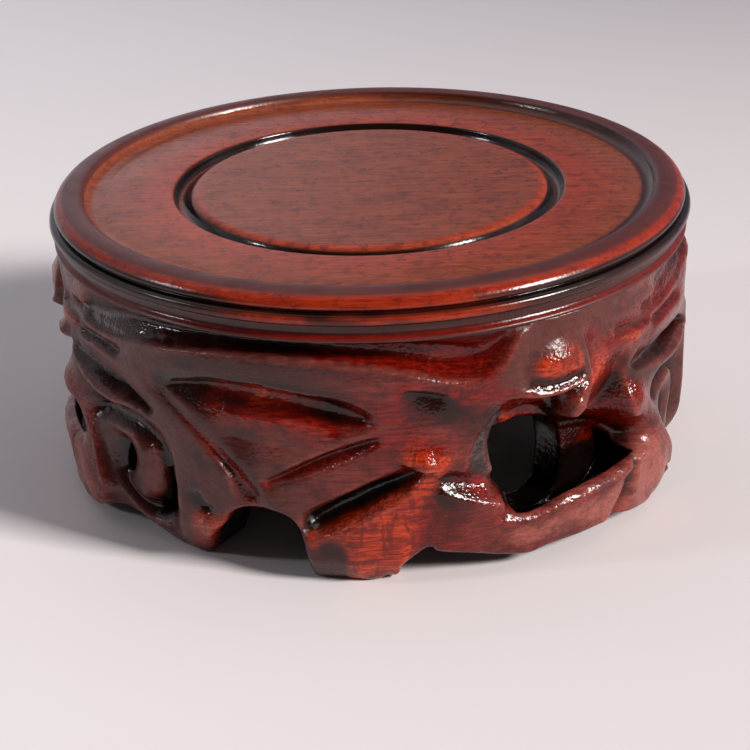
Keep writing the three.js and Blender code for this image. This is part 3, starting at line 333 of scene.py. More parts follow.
# The stain along each line, spread evenly from its first point to its last. Lines left out are dull. Some lines carry
# painted shade, and some a painted reflection, as marked below.
TONES = {
    "flute_floor": ["dark", "dark", "dark", "dark", "dark", "red", "red", "red", "red", "red"],
    "flute_low": ["dark", "dark", "dark", "dark", "red", "red", "red"],
    "branch_crest": ["dull", "dull", "brown", "wine"],
    "branch_back": ["dull", "brown", "brown", "wine"],
    "leaf_nick": ["dark"],
    "leaf_end": ["red", "wine", "dull"],
    "leaf_lip": ["red", "red", "wine", "wine"],
    "knuckle": ["orange"],
    "knuckle_groove": ["dark"],
    "beside_knuckle": ["red"],
    "tongue": ["wine", "orange", "wine", "wine"],
    "beside_tongue": ["red", "dark", "red"],
    # The dark and black from under the knuckle, through the cave and the window's side, to the pocket behind the arm
    # are painted shade over a dark stain
    "under_knuckle": ["red", "red", "dark"],
    "cave_dome": ["orange", "red", "dark"],
    "over_ball": ["dark"],
    "cave_floor": ["black", "black", "dark", "dark", "red", "dark"],
    "cave_rim": ["wine", "red", "red", "wine", "wine", "wine"],
    # The pink on the lobe is partly a painted reflection of the pale floor
    "lobe": ["pink"],
    "hole_left": ["black"],
    "arm_inner": ["black", "black", "black", "black", "red"],
    "arm_root": ["dark", "wine"],
    "arm_crest": ["wine"],
    "arm_bevel": ["wine"],
    # The pink on the arm's face is partly a painted reflection of the pale floor
    "arm_face": ["pink"],
    "root_hollow": ["dark", "red"],
    "arm_low": ["red", "wine", "wine"],
    "arm_nick": ["grey", "wine"],
    # The pink on the nicks' sides is partly a painted reflection of the pale floor
    "nick_right": ["pink"],
    "nick_left": ["pink"],
    "second_top": ["dark", "dark", "dark", "red"],
    "second_low": ["dark", "dark", "red", "red", "red"],
    "second_floor": ["dark", "dark", "red", "orange", "red", "dark", "red"],
    "thin_crest": ["wine"],
    "drape": ["brown", "wine"],
    "drape_crest": ["dull", "brown", "dull", "dark"],
    "fan_up": ["red", "wine", "dull"],
    "fan_floor": ["red"],
    "fan_low": ["red", "wine", "dull"],
    "deep_up": ["red", "wine", "wine", "dull"],
    # The black along the deep cut's floor is painted shade over a dark stain
    "deep_floor": ["red", "black", "black", "black"],
    "foot_top": ["orange"],
    "foot_ridge": ["orange"],
    "foot_right": ["orange"],
    "foot_side": ["red"],
    "foot_left": ["brown"],
    "post": ["dark", "dark", "wine", "red"],
    "post_knob": ["orange"],
    "bevel_left": ["dark", "wine"],
    "bevel_face": ["grey"],
    "bevel_right": ["grey"],
    "gully_floor": ["dark"],
    # The black in the scroll's channel and on the eye's floor is painted shade over a dark stain
    "scroll_channel": ["dark", "dark", "dark", "black", "black", "black"],
    "eye_floor": ["black"],
    "strand_groove": ["dark", "red", "red"],
    "petal_right": ["wine"],
    "petal_groove": ["dark"],
    "toe": ["brown"],
    "toe_dent": ["black"],
    "toe_foot": ["orange", "red"],
    "wedge_floor": ["dark"],
    "gully_up": ["brown"],
    "scroll_outer": ["brown", "dull", "dull"],
    "scroll_left": ["brown"],
    "shoulder": ["dull", "wine"],
    "shoulder_bulge": ["red", "orange", "red"],
}


def through(points, pieces):
    """Catmull-Rom curve through the points, with that many straight pieces to a span."""
    p = np.array(points, dtype=float)
    p = np.vstack([2 * p[0] - p[1], p, 2 * p[-1] - p[-2]])
    t = np.arange(pieces)[:, None] / pieces
    spans = []
    for a, b, c, d in zip(p[:-3], p[1:-2], p[2:-1], p[3:]):
        cubic = (2 * a - 5 * b + 4 * c - d) * t**2 + (3 * b - a - 3 * c + d) * t**3
        spans.append(0.5 * (2 * b + (c - a) * t + cubic))
    return np.vstack(spans + [p[-2][None, :]])


def bezier(a, control, b, pieces):
    """Points of a curve from a to b, without a."""
    t = np.linspace(0, 1, pieces + 1)[1:, None]
    a, control, b = (np.array(p, dtype=float) for p in (a, control, b))
    return list((1 - t)**2 * a + 2 * t * (1 - t) * control + t**2 * b)


def wall_length(angle):
    """Distance along the unrolled wall."""
    return np.radians(angle) * WALL_RADIUS


def wall_grid():
    """Distance along the wall and height of every cell of one motif's field, as arrays of columns by rows."""
    angle = (np.arange(FIELD_COLUMNS) / FIELD_COLUMNS - 0.5) * MOTIF_PITCH
    height = FIELD_LOW + FIELD_STEP * np.arange(FIELD_ROWS)
    return np.meshgrid(wall_length(angle), height, indexing="ij")


def near(a, b, x, y):
    """Distance from each cell to the piece a-b, and how far along the piece its nearest point lies."""
    d = b - a
    along = np.clip(((x - a[0]) * d[0] + (y - a[1]) * d[1]) / max(d[0]**2 + d[1]**2, 1e-12), 0, 1)
    return np.hypot(x - a[0] - along * d[0], y - a[1] - along * d[1]), along


def only(tone):
    """A palette share that is all one tone."""
    return np.array([float(name == tone) for name in PALETTE])


def draw_lines():
    """The cells that the lines cover, their distances out, and their shares of each tone."""
    x, height = wall_grid()
    best = np.full(x.shape, 1e9)
    out = np.zeros(x.shape)
    tones = np.zeros(x.shape + (len(PALETTE),))
    for name, line in LINES.items():
        line_tones = np.array([only(tone) for tone in TONES.get(name, ["dull"])])
        path = through(line, LINE_PIECES) if len(line) > 2 else np.array(line, dtype=float)
        for turn in TURNS:
            turned = np.column_stack([wall_length(path[:, 0] + turn), path[:, 1:]])
            if turned[:, 0].max() < x.min() - LINE_MARGIN or turned[:, 0].min() > x.max() + LINE_MARGIN:
                continue
            for i, (a, b) in enumerate(zip(turned[:-1], turned[1:])):
                gap, along = near(a, b, x, height)
                gap = gap / (a[3] + (b[3] - a[3]) * along + LINE_REACH)
                closer = (gap < 1) & (gap < best)
                best[closer] = gap[closer]
                out[closer] = (a[2] + (b[2] - a[2]) * along)[closer]
                at = (i + along[closer]) / (len(path) - 1) * (len(line_tones) - 1)
                k = np.minimum(at.astype(int), max(len(line_tones) - 2, 0))
                share = (at - k)[:, None]
                tones[closer] = line_tones[k] * (1 - share) + line_tones[np.minimum(k + 1, len(line_tones) - 1)] * share
    return best < 1, out, tones


def stretch(fixed, out, sizes):
    """Fills the cells between the fixed ones as a membrane stretched from line to line, coarsely first."""
    guess = None
    for size in sizes:
        columns, rows = FIELD_COLUMNS // size, -(-FIELD_ROWS // size)
        pad = rows * size - FIELD_ROWS
        weight = np.pad(fixed.astype(float), ((0, 0), (0, pad)))
        total = np.pad(np.where(fixed, out, 0.0), ((0, 0), (0, pad)))
        weight = weight.reshape(columns, size, rows, size).sum((1, 3))
        total = total.reshape(columns, size, rows, size).sum((1, 3))
        held = weight > 0
        target = np.where(held, total / np.maximum(weight, 1), 0)
        if guess is None:
            field = np.where(held, target, target[held].mean())
        else:
            field = np.repeat(np.repeat(guess, 2, 0), 2, 1)[:columns, :rows]
            field = np.where(held, target, field)
        for _ in range(RELAX_PASSES):
            side = np.pad(field, ((0, 0), (1, 1)), mode="edge")
            mean = (np.roll(field, 1, 0) + np.roll(field, -1, 0) + side[:, :-2] + side[:, 2:]) / 4
            field = np.where(held, target, mean)
        guess = field
    return np.repeat(np.repeat(guess, sizes[-1], 0), sizes[-1], 1)[:, :FIELD_ROWS]


def soften(field, passes):
    """Rounds the creases: each pass blurs by about 0.8 of a cell."""
    for _ in range(passes):
        field = (np.roll(field, 1, 0) + 2 * field + np.roll(field, -1, 0)) / 4
        p = np.pad(field, ((0, 0), (1, 1)), mode="edge")
        field = (p[:, :-2] + 2 * field + p[:, 2:]) / 4
    return field


def signed_distance(path, ray):
    """Distance in millimetres from every cell to a path on the unrolled wall, below zero inside it.

    A cell is inside if a ray from it, along the wall (0) or up (1), crosses the path an odd number of times.
    """
    cells = wall_grid()
    path = np.column_stack([wall_length(path[:, 0]), path[:, 1]])
    side = 1 - ray
    gap = np.full(cells[0].shape, 1e9)
    inside = np.zeros(gap.shape, dtype=bool)
    for a, b in zip(path[:-1], path[1:]):
        gap = np.minimum(gap, near(a, b, *cells)[0])
        if a[side] == b[side]:
            continue
        crosses = (a[side] > cells[side]) != (b[side] > cells[side])
        at = a[ray] + (cells[side] - a[side]) * (b[ray] - a[ray]) / (b[side] - a[side])
        inside ^= crosses & (cells[ray] < at)
    return np.where(inside, -gap, gap)


def lower_edge_distance():
    """Signed distance to the space under the wall, below zero where there is no wood."""
    before, middle, after = [[(angle + turn, z) for angle, z in LOWER_EDGE] for turn in TURNS]
    path = through(before[-4:] + middle + after[:4], EDGE_PIECES)
    path[:, 1] = np.maximum(path[:, 1], 0)
    return signed_distance(path, 1)


def smooth_max(a, b, rounding):
    """The larger value, with the crease between the two rounded over that distance."""
    h = np.maximum(rounding - np.abs(a - b), 0) / rounding
    return np.maximum(a, b) + h * h * rounding / 4


def noise(shape, cells, seed):
    """Smooth noise from -1 to 1, periodic along the first axis, with that many bumps along each axis."""
    rng = np.random.default_rng(seed)
    knots = rng.uniform(-1, 1, (cells[0], cells[1] + 2))
    u = np.arange(shape[0]) / shape[0] * cells[0]
    v = np.arange(shape[1]) / (shape[1] - 1) * cells[1]
    i, j = u.astype(int), np.minimum(v.astype(int), cells[1] - 1)
    fu, fv = u - i, v - j
    fu, fv = fu * fu * (3 - 2 * fu), fv * fv * (3 - 2 * fv)
    this, after = knots[i % cells[0]], knots[(i + 1) % cells[0]]
    a = this[:, j] * (1 - fu)[:, None] + after[:, j] * fu[:, None]
    b = this[:, j + 1] * (1 - fu)[:, None] + after[:, j + 1] * fu[:, None]
    return a * (1 - fv)[None, :] + b * fv[None, :]


def sample(field, column, row):
    """Values of a field at fractional columns and rows. Its columns repeat round the stand."""
    i = np.floor(column).astype(int)
    j = np.clip(np.floor(row).astype(int), 0, field.shape[1] - 2)
    u, v = column - i, np.clip(row - j, 0, 1)
    i0, i1 = i % field.shape[0], (i + 1) % field.shape[0]
    return ((field[i0, j] * (1 - u) + field[i1, j] * u) * (1 - v)
            + (field[i0, j + 1] * (1 - u) + field[i1, j + 1] * u) * v)


def between(value, low, high, soft):
    """1 inside the range, 0 outside it, with soft ends."""
    return np.clip((value - low) / soft + 0.5, 0, 1) * np.clip((high - value) / soft + 0.5, 0, 1)


def carve():
    """One motif of the carved ring: a block of cells, below zero in the wood, its relief, and that one's tones."""
    fixed, out, tones = draw_lines()
    relief = soften(stretch(fixed, out, RELIEF_CELLS), RELIEF_BLUR)
    for height, bumps, seed in HAND_CUT:
        relief += height * noise(relief.shape, bumps, seed)
    height = FIELD_LOW + FIELD_STEP * np.arange(FIELD_ROWS)
    layer = DEPTH_LOW + DEPTH_STEP * np.arange(DEPTH_LAYERS)
    slope_round = (np.roll(relief, -1, 0) - np.roll(relief, 1, 0)) / (2 * wall_length(MOTIF_PITCH / FIELD_COLUMNS))
    slope_up = np.gradient(relief, FIELD_STEP, axis=1)
    steep = np.sqrt(1 + np.minimum(slope_round**2 + slope_up**2, STEEPEST_SLOPE**2))
    solid = ((layer[None, None, :] - relief[:, :, None]) / steep[:, :, None]).astype(np.float32)
    solid = smooth_max(solid, -lower_edge_distance()[:, :, None], EDGE_ROUNDING)
    for near_out, far_out, points in OPENINGS.values():
        outline = signed_distance(through(points + points[:1], OPENING_PIECES), 0)
        cut = np.minimum(layer - near_out, far_out - layer)[None, None, :]
        solid = smooth_max(solid, np.minimum(-outline[:, :, None], cut), OPENING_ROUNDING)
    solid = smooth_max(solid, (BORE_RADIUS - layer)[None, None, :], BORE_ROUNDING)
    solid = np.maximum(solid, (height - JOINT_HEIGHT)[None, :, None])
    solid = np.maximum(solid, -height[None, :, None]).astype(np.float32)
    layers = [stretch(fixed, tones[:, :, n], TONE_CELLS) for n in range(len(PALETTE))]
    return solid, relief, [soften(layer, TONE_BLUR)**2 for layer in layers]


def surface_nets(values):
    """The zero surface of a field that wraps round its first axis: places in cells, and quads facing out."""
    na, nz, nr = values.shape
    wrapped = np.concatenate([values, values[:1]], 0)
    signs = wrapped < 0
    corners = [(i, j, k) for i in (0, 1) for j in (0, 1) for k in (0, 1)]
    count = np.zeros((na, nz - 1, nr - 1), dtype=np.int8)
    for i, j, k in corners:
        count += signs[i:na + i, j:nz - 1 + j, k:nr - 1 + k]
    active = (count > 0) & (count < 8)
    cell = np.argwhere(active)
    number = np.full(active.shape, -1, dtype=np.int64)
    number[active] = np.arange(len(cell))
    # Each cell on the surface gets one vertex, the mean of the points where its edges cross zero.
    total = np.zeros((len(cell), 3))
    hits = np.zeros(len(cell))
    for corner in corners:
        for axis in range(3):
            if corner[axis]:
                continue
            start = cell + corner
            end = start.copy()
            end[:, axis] += 1
            v0, v1 = wrapped[tuple(start.T)], wrapped[tuple(end.T)]
            cross = (v0 < 0) != (v1 < 0)
            point = start.astype(float)
            point[:, axis] += np.where(cross, v0 / np.where(cross, v0 - v1, 1), 0)
            total += point * cross[:, None]
            hits += cross
    quads = []
    # Each crossed edge gives one quad of the four cells round it, wound by the side the wood is on.
    for axis in range(3):
        step = [int(n == axis) for n in range(3)]
        other = [n for n in range(3) if n != axis]
        low = values[:, :nz - step[1], :nr - step[2]]
        high = wrapped[step[0]:na + step[0], step[1]:, step[2]:]
        edge = np.argwhere((low < 0) != (high < 0))
        keep = np.ones(len(edge), dtype=bool)
        for n in other:
            if n:
                keep &= (edge[:, n] > 0) & (edge[:, n] < (nz, nr)[n - 1] - 1)
        edge = edge[keep]
        ring = []
        for du, dv in ((0, 0), (-1, 0), (-1, -1), (0, -1)):
            c = edge.copy()
            c[:, other[0]] += du
            c[:, other[1]] += dv
            c[:, 0] %= na
            ring.append(number[tuple(c.T)])
        quad = np.stack(ring, 1)
        rising = values[tuple(edge.T)] < 0
        flip = rising if axis == 1 else ~rising
        quad[flip] = quad[flip][:, ::-1]
        quads.append(quad)
    return total / hits[:, None], np.vstack(quads)


def put_in_scene(name, data):
    """An object that shows a mesh, a light or a camera."""
    obj = bpy.data.objects.new(name, data)
    bpy.context.scene.collection.objects.link(obj)
    return obj


def large_mesh(name, vertices, quads):
    """An object of many quads, made from arrays."""
    mesh = bpy.data.meshes.new(name)
    mesh.vertices.add(len(vertices))
    mesh.vertices.foreach_set("co", vertices.astype(np.float32).ravel())
    mesh.loops.add(quads.size)
    mesh.loops.foreach_set("vertex_index", quads.astype(np.int32).ravel())
    mesh.polygons.add(len(quads))
    mesh.polygons.foreach_set("loop_start", np.arange(0, quads.size, quads.shape[1], dtype=np.int32))
    mesh.polygons.foreach_set("loop_total", np.full(len(quads), quads.shape[1], dtype=np.int32))
    mesh.update(calc_edges=True)
    mesh.validate()
    mesh.polygons.foreach_set("use_smooth", np.ones(len(mesh.polygons), dtype=bool))
    return put_in_scene(name, mesh)


def small_mesh(name, vertices, faces):
    """An object of faces with any number of corners, made from lists."""
    mesh = bpy.data.meshes.new(name)
    mesh.from_pydata(vertices, [], faces)
    mesh.update()
    mesh.polygons.foreach_set("use_smooth", np.ones(len(mesh.polygons), dtype=bool))
    return put_in_scene(name, mesh)


def polar(vertices):
    """Angle, height and distance out of each vertex."""
    v = vertices / MM
    return np.degrees(np.arctan2(v[:, 0], -v[:, 1])), v[:, 2], np.hypot(v[:, 0], v[:, 1])


def linear(r, g, b):
    """Scene colour of an sRGB colour given in 0 to 255."""
    values = [c / 255 for c in (r, g, b)]
    return [c / 12.92 if c <= 0.04045 else ((c + 0.055) / 1.055)**2.4 for c in values] + [1.0]


def stain_and_shade(obj, shares):
    """Writes each vertex's colour, roughness and grain from its shares of the palette."""
    colours, roughs, grains = zip(*PALETTE.values())
    colour = shares @ np.array([linear(*c)[:3] for c in colours])
    data = {"stain_and_shade": ("FLOAT_COLOR", "color", np.hstack([colour, np.ones((len(shares), 1))])),
            "rough": ("FLOAT", "value", shares @ np.array(roughs)),
            "grain": ("FLOAT", "value", shares @ np.array(grains))}
    for name, (kind, field, values) in data.items():
        attribute = obj.data.attributes.new(name, kind, "POINT")
        attribute.data.foreach_set(field, values.astype(np.float32).ravel())


def blend(shares, amount, tone):
    """Moves each vertex's shares of the palette towards one tone."""
    amount = amount[:, None]
    return shares * (1 - amount) + amount * only(tone)


def ring_tones(vertices, relief, layers):
    """The ring's stains: the lines' own, redder at the right, pink on crests as wear with a painted highlight, and
    black as painted shade in creases and depths.
    """
    angle, height, out = polar(vertices)
    column = (angle / MOTIF_PITCH + 0.5) * FIELD_COLUMNS
    row = (height - FIELD_LOW) / FIELD_STEP
    shares = np.stack([sample(layer, column, row) for layer in layers], 1)
    shares /= shares.sum(1)[:, None]
    crease = sample(soften(relief, CREASE_BLUR) - relief, column, row)
    under_relief = sample(relief, column, row) - out
    # Black as painted shade: inside the openings, near the bore, and in creases
    painted_shade = np.maximum(BORE_RADIUS + SHADE_FROM_BORE - out, under_relief - SHADE_UNDER_RELIEF) / SHADE_OVER
    painted_shade = np.maximum(painted_shade, np.minimum((crease - CREASE_SHADE_FROM) / CREASE_SHADE_OVER, CREASE_SHADE_MOST))
    shares = blend(shares, WARM_MOST * between(angle, *WARM_ANGLES) * between(height, *WARM_HEIGHTS), "red")
    # Pink on crests: wear, with a painted highlight
    shares = blend(shares, np.clip((-crease - CREST_WEAR_AND_HIGHLIGHT_FROM) / CREST_WEAR_AND_HIGHLIGHT_OVER, 0, CREST_WEAR_AND_HIGHLIGHT_MOST), "pink")
    return blend(shares, np.clip(painted_shade, 0, 1), "black")


def carved_ring():
    block, relief, layers = carve()
    cells, quads = surface_nets(np.tile(block, (MOTIF_COUNT, 1, 1)))
    turn = np.radians((cells[:, 0] / FIELD_COLUMNS - 0.5) * MOTIF_PITCH)
    height = FIELD_LOW + FIELD_STEP * cells[:, 1]
    out = DEPTH_LOW + DEPTH_STEP * cells[:, 2]
    vertices = np.stack([out * np.sin(turn), -out * np.cos(turn), height], 1) * MM
    ring = large_mesh("carved_ring_roots", vertices, quads)
    stain_and_shade(ring, ring_tones(vertices, relief, layers))
    return ring


def board_profile():
    """(out, height) points from the axis under the spigot, round the moulded edge and over the top."""
    p = [np.array([out, JOINT_HEIGHT + z]) for out, z in SPIGOT]
    for curves, level in ((EDGE_CURVES, JOINT_HEIGHT), (TOP_CURVES, STAND_HEIGHT)):
        for (control_out, control_z), (out, z), pieces in curves:
            p += bezier(p[-1], (control_out, level + control_z), (out, level + z), pieces)
    return np.array(p + [np.array([out, STAND_HEIGHT + z]) for out, z in CENTRE_FIELD])


def board_tones(angle, height, out):
    """The board's stains: worn to orange on the mouldings in front, black on the back beads, in the bead groove and in
    the top's channel, and painted shade on the top's dip away from the window.
    """
    above_joint = height - JOINT_HEIGHT
    edge = (out > 45) & (above_joint > 0.1)
    on_edge = {name: edge * between(above_joint, *band) for name, band in EDGE_BANDS.items()}
    on_top = {name: (above_joint > 4) * between(out, *band) for name, band in TOP_BANDS.items()}
    steps_per_degree, steps_per_mm, seed = 2, 5, 12
    wear = noise((360 * steps_per_degree, 8 * steps_per_mm), (80, 9), seed)
    wear = sample(wear, (angle + 180) * steps_per_degree, above_joint * steps_per_mm)
    front = between(angle, *WORN_FRONT) * np.clip(1 + 0.8 * wear, 0, 1)
    front_beads, other_beads = on_edge["beads"] * front, on_edge["beads"] * (1 - front)
    rim_line = on_edge["rim_line"] * (out > 48.2)
    shoulders = on_top["inner_shoulder"] + on_top["outer_shoulder"]
    weight = {
        "black": 1.2 * other_beads + 3 * on_edge["groove"] + 4 * on_top["channel"],
        "orange": front_beads + 0.9 * rim_line + 0.6 * shoulders,
        "red": on_edge["red_line"] + 0.7 * rim_line,
        # Dark on the top's dip, on the side away from the window, is painted shade
        "dark": 0.6 * front_beads + 0.5 * on_edge["cove"] + on_top["dip"] * between(angle, *SHADED_DIP),
        "dull": 0.4 * edge,
        "brown": other_beads,
        "board": 0.5 * (1 - edge),
    }
    least = 0.001
    shares = np.stack([weight.get(name, np.zeros(len(out))) + least for name in PALETTE], 1)**2
    return shares / shares.sum(1)[:, None]


def top_board():
    profile = board_profile()
    turn = np.arange(BOARD_SIDES) / BOARD_SIDES * 2 * math.pi
    out, z = profile[1:, 0], profile[1:, 1]
    x = out[None, :] * np.sin(turn)[:, None]
    y = -out[None, :] * np.cos(turn)[:, None]
    body = np.stack([x, y, np.broadcast_to(z, x.shape)], 2).reshape(-1, 3)
    low, high = len(body), len(body) + 1
    vertices = np.vstack([body, [[0, 0, profile[0, 1]], [0, 0, profile[-1, 1]]]]) * MM
    side = np.arange(BOARD_SIDES)[:, None] * len(z)
    after = np.roll(side, -1, 0)
    k = np.arange(len(z) - 1)[None, :]
    quads = np.stack([side + k, after + k, after + k + 1, side + k + 1], 2).reshape(-1, 4)
    caps = [(low, b, a) for a, b in zip(side[:, 0].tolist(), after[:, 0].tolist())]
    caps += [(high, a + len(z) - 1, b + len(z) - 1) for _, b, a in caps]
    board = small_mesh("top_board_turned", vertices.tolist(), quads.tolist() + caps)
    stain_and_shade(board, board_tones(*polar(vertices)))
    return board


class Shader:
    """A material's node tree, with short calls for the nodes that the wood needs."""

    def __init__(self, name):
        self.material = bpy.data.materials.new(name)
        self.material.use_nodes = True
        self.tree = self.material.node_tree
        self.tree.nodes.clear()

    def node(self, kind, inputs=None, **settings):
        n = self.tree.nodes.new("ShaderNode" + kind)
        for key, value in settings.items():
            setattr(n, key, value)
        for key, value in (inputs or {}).items():
            self.put(n.inputs[key], value)
        return n

    def put(self, socket, value):
        if isinstance(value, bpy.types.NodeSocket):
            self.tree.links.new(value, socket)
        else:
            socket.default_value = value

    def noise(self, scale, detail, rough=0.5, distortion=0.0, offset=(0, 0, 0)):
        """Noise over the object, with that many bumps to a millimetre along each axis."""
        spot = self.node("TexCoord").outputs["Object"]
        place = self.node("Mapping", {"Vector": spot, "Scale": [s / MM for s in scale], "Location": offset})
        values = {"Vector": place.outputs["Vector"], "Scale": 1.0, "Detail": detail, "Roughness": rough,
                  "Distortion": distortion}
        return self.node("TexNoise", values).outputs["Fac"]

    def ramp(self, factor, low, high, out_low=0.0, out_high=1.0):
        values = {"Value": factor, "From Min": low, "From Max": high, "To Min": out_low, "To Max": out_high}
        return self.node("MapRange", values, interpolation_type="SMOOTHSTEP").outputs["Result"]

    def mix(self, factor, a, b, blend_type="MIX"):
        n = self.node("Mix", data_type="RGBA", blend_type=blend_type)
        self.put(n.inputs["Factor"], factor)
        self.put(n.inputs["A"], a)
        self.put(n.inputs["B"], b)
        return n.outputs["Result"]

    def math(self, operation, a, b):
        n = self.node("Math", operation=operation)
        self.put(n.inputs[0], a)
        self.put(n.inputs[1], b)
        return n.outputs["Value"]

    def attribute(self, name, output="Fac"):
        return self.node("Attribute", attribute_name=name).outputs[output]

    def surface(self, **values):
        """The finished material: a Principled shader with these values on its sockets."""
        sockets = {name.replace("_", " "): value for name, value in values.items()}
        shader = self.node("BsdfPrincipled", sockets)
        self.node("OutputMaterial", {"Surface": shader.outputs["BSDF"]})
        return self.material


def stained_wood(name, fine, sparkle):
    """Stained wood under gloss lacquer. Each vertex carries its stain with its painted shade and highlight, roughness
    and share of grain.

    fine is how strongly streaks and smudges show, and sparkle is the height of the lacquer's grit.
    """
    s = Shader(name)
    specular, wave_height = 0.42, 0.65 * sparkle
    streaks = s.noise((0.12, 1.6, 2.2), 4, 0.65, 0.4)
    pores = s.noise((0.5, 4.5, 4.5), 2, 0.6, offset=(7, 3, 1))
    smudges = s.noise((0.16, 0.2, 0.24), 5, 0.7, offset=(3, 5, 2))
    marks = s.noise((0.5, 0.5, 0.16), 2, 0.6, 0.4, (2, 8, 5))
    grit = s.noise((1.7, 2.1, 2.1), 1)
    waves = s.noise((0.3, 0.5, 0.5), 2, offset=(9, 4, 7))
    grain = s.attribute("grain")
    tone = s.attribute("stain_and_shade", "Color")
    dark = s.mix(1.0, tone, (0.3, 0.2, 0.2, 1), "MULTIPLY")
    light = s.mix(1.0, tone, (1.5, 1.6, 1.6, 1), "MULTIPLY")
    streaky = s.math("MULTIPLY", grain, fine)
    marked = s.math("MULTIPLY", s.math("POWER", grain, 3), 0.75)
    colour = tone
    # Each pattern sets in between two of its values, with a strength, and brings its shade
    for pattern, start, full, strength, shade in (
            (streaks, 0.56, 0.38, streaky, dark),
            (streaks, 0.5, 0.68, streaky, light),
            (pores, 0.56, 0.68, s.math("MULTIPLY", grain, 0.7), dark),
            (marks, 0.56, 0.62, marked, dark),
            (smudges, 0.48, 0.64, 0.8 * fine, dark)):
        colour = s.mix(s.math("MULTIPLY", s.ramp(pattern, start, full), strength), colour, shade)
    fine_bump = s.node("Bump", {"Height": grit, "Distance": sparkle * MM, "Strength": s.ramp(grain, 0.1, 1, 0.3, 1)})
    bump = s.node("Bump", {"Height": waves, "Distance": wave_height * MM, "Normal": fine_bump.outputs["Normal"]})
    rough = s.math("ADD", s.attribute("rough"), s.ramp(smudges, 0.3, 0.7, -0.05, 0.07))
    return s.surface(Base_Color=colour, Roughness=rough, Specular_IOR_Level=specular, Normal=bump.outputs["Normal"])


def pin_wood():
    s = Shader("pin_wood_raw")
    grain = s.noise((2.5, 2.5, 0.2), 3, 0.6)
    colour = s.mix(grain, linear(150, 110, 66), linear(205, 170, 118))
    bump = s.node("Bump", {"Height": grain, "Distance": 0.05 * MM, "Strength": 0.6})
    return s.surface(Base_Color=colour, Roughness=0.75, Normal=bump.outputs["Normal"])


def paint(obj, material):
    obj.data.materials.clear()
    obj.data.materials.append(material)


def dress(obj, node, material):
    """Puts a piece in the place of a CAD node, with its material."""
    paint(obj, material)
    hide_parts(node)
    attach(obj, "root")


def floor_and_backdrop():
    """A pale sweep: flat under the stand, and curving up far behind it, its colour darkened to the right and further
    back as painted shade.
    """
    points = [(SWEEP_FRONT, 0.0), (SWEEP_FLAT_TO, 0.0)]
    for t in np.linspace(0, math.pi / 2, 14)[1:]:
        points.append((SWEEP_FLAT_TO + SWEEP_BEND * math.sin(t), SWEEP_BEND - SWEEP_BEND * math.cos(t)))
    points.append((SWEEP_FLAT_TO + SWEEP_BEND, SWEEP_HEIGHT))
    vertices = [(x, y, z) for y, z in points for x in (-SWEEP_HALF_WIDTH, SWEEP_HALF_WIDTH)]
    faces = [(2 * i, 2 * i + 1, 2 * i + 3, 2 * i + 2) for i in range(len(points) - 1)]
    sweep = small_mesh("sweep", vertices, faces)
    s = Shader("sweep_paper_painted_shade")
    spot = s.node("SeparateXYZ", {"Vector": s.node("TexCoord").outputs["Object"]})
    # Painted shade on the paper: darker to the right and further back
    side = s.ramp(spot.outputs["X"], *PAPER_SHADE_LEFT_TO_RIGHT)
    far = s.ramp(spot.outputs["Y"], *PAPER_SHADE_NEAR_TO_FAR)
    rows = [s.mix(side, linear(*left), linear(*right)) for left, right in (PAPER_NEAR_SHADED, PAPER_FAR_SHADED)]
    paint(sweep, s.surface(Base_Color=s.mix(far, *rows), Roughness=0.95, Specular_IOR_Level=0.0))


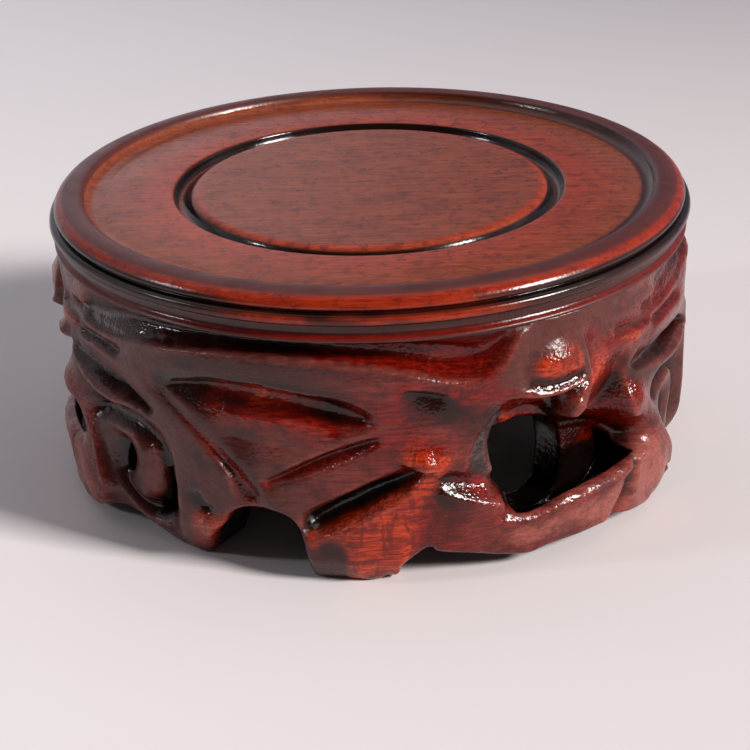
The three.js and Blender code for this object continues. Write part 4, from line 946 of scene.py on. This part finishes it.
def lights():
    """A window at the right, a small far one at the left, and a dim room that is brighter behind the stand."""
    for name, (place, size, power, colour) in LIGHTS.items():
        data = bpy.data.lights.new(name, "AREA")
        data.shape = "RECTANGLE"
        data.size, data.size_y = size
        data.energy = power
        data.color = colour
        light = put_in_scene(name, data)
        light.location = place
        light.rotation_euler = (Vector(LIGHT_AIM) - Vector(place)).to_track_quat("-Z", "Y").to_euler()
    world = bpy.data.worlds.new("room")
    world.use_nodes = True
    tree = world.node_tree
    background = tree.nodes["Background"]
    background.inputs["Color"].default_value = ROOM_COLOUR
    coordinates = tree.nodes.new("ShaderNodeTexCoord")
    direction = tree.nodes.new("ShaderNodeSeparateXYZ")
    glow = tree.nodes.new("ShaderNodeMapRange")
    glow.interpolation_type = "SMOOTHSTEP"
    for name, value in ROOM_GLOW.items():
        glow.inputs[name].default_value = value
    tree.links.new(coordinates.outputs["Generated"], direction.inputs["Vector"])
    tree.links.new(direction.outputs["Y"], glow.inputs["Value"])
    tree.links.new(glow.outputs["Result"], background.inputs["Strength"])
    bpy.context.scene.world = world


def swing(a, b, degrees):
    """Two axes turned in their own plane."""
    c, s = math.cos(math.radians(degrees)), math.sin(math.radians(degrees))
    return c * a + s * b, c * b - s * a


def camera():
    """The photograph's viewpoint: turned about its own axes after looking at the board's centre."""
    rise = math.radians(CAMERA_ELEVATION)
    ahead = Vector((0, math.cos(rise), -math.sin(rise)))
    right, up = Vector((1, 0, 0)), Vector((0, math.sin(rise), math.cos(rise)))
    place = Vector((0, 0, CAMERA_AIM_HEIGHT)) - ahead * CAMERA_DISTANCE
    right, up = swing(right, up, CAMERA_ROLL)
    ahead, right = swing(ahead, right, CAMERA_PAN)
    ahead, up = swing(ahead, up, CAMERA_TILT)
    data = bpy.data.cameras.new("camera")
    data.lens = CAMERA_LENS
    data.sensor_width = CAMERA_SENSOR
    data.clip_start = CAMERA_NEAR_CLIP
    eye = put_in_scene("camera", data)
    eye.matrix_world = Matrix.Translation(place * MM) @ Matrix((right, up, -ahead)).transposed().to_4x4()
    bpy.context.scene.camera = eye


bpy.context.scene.view_settings.view_transform = "Standard"
camera()
lights()
floor_and_backdrop()
dress(carved_ring(), "carved_ring", stained_wood("carved_wood_lacquer", fine=0.9, sparkle=0.16))
dress(top_board(), "top_board", stained_wood("board_wood_lacquer", fine=0.42, sparkle=0.04))
raw_wood = pin_wood()
for name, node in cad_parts.items():
    if name.startswith("joint_pin"):
        for place in node.material_slots:
            place.material = raw_wood
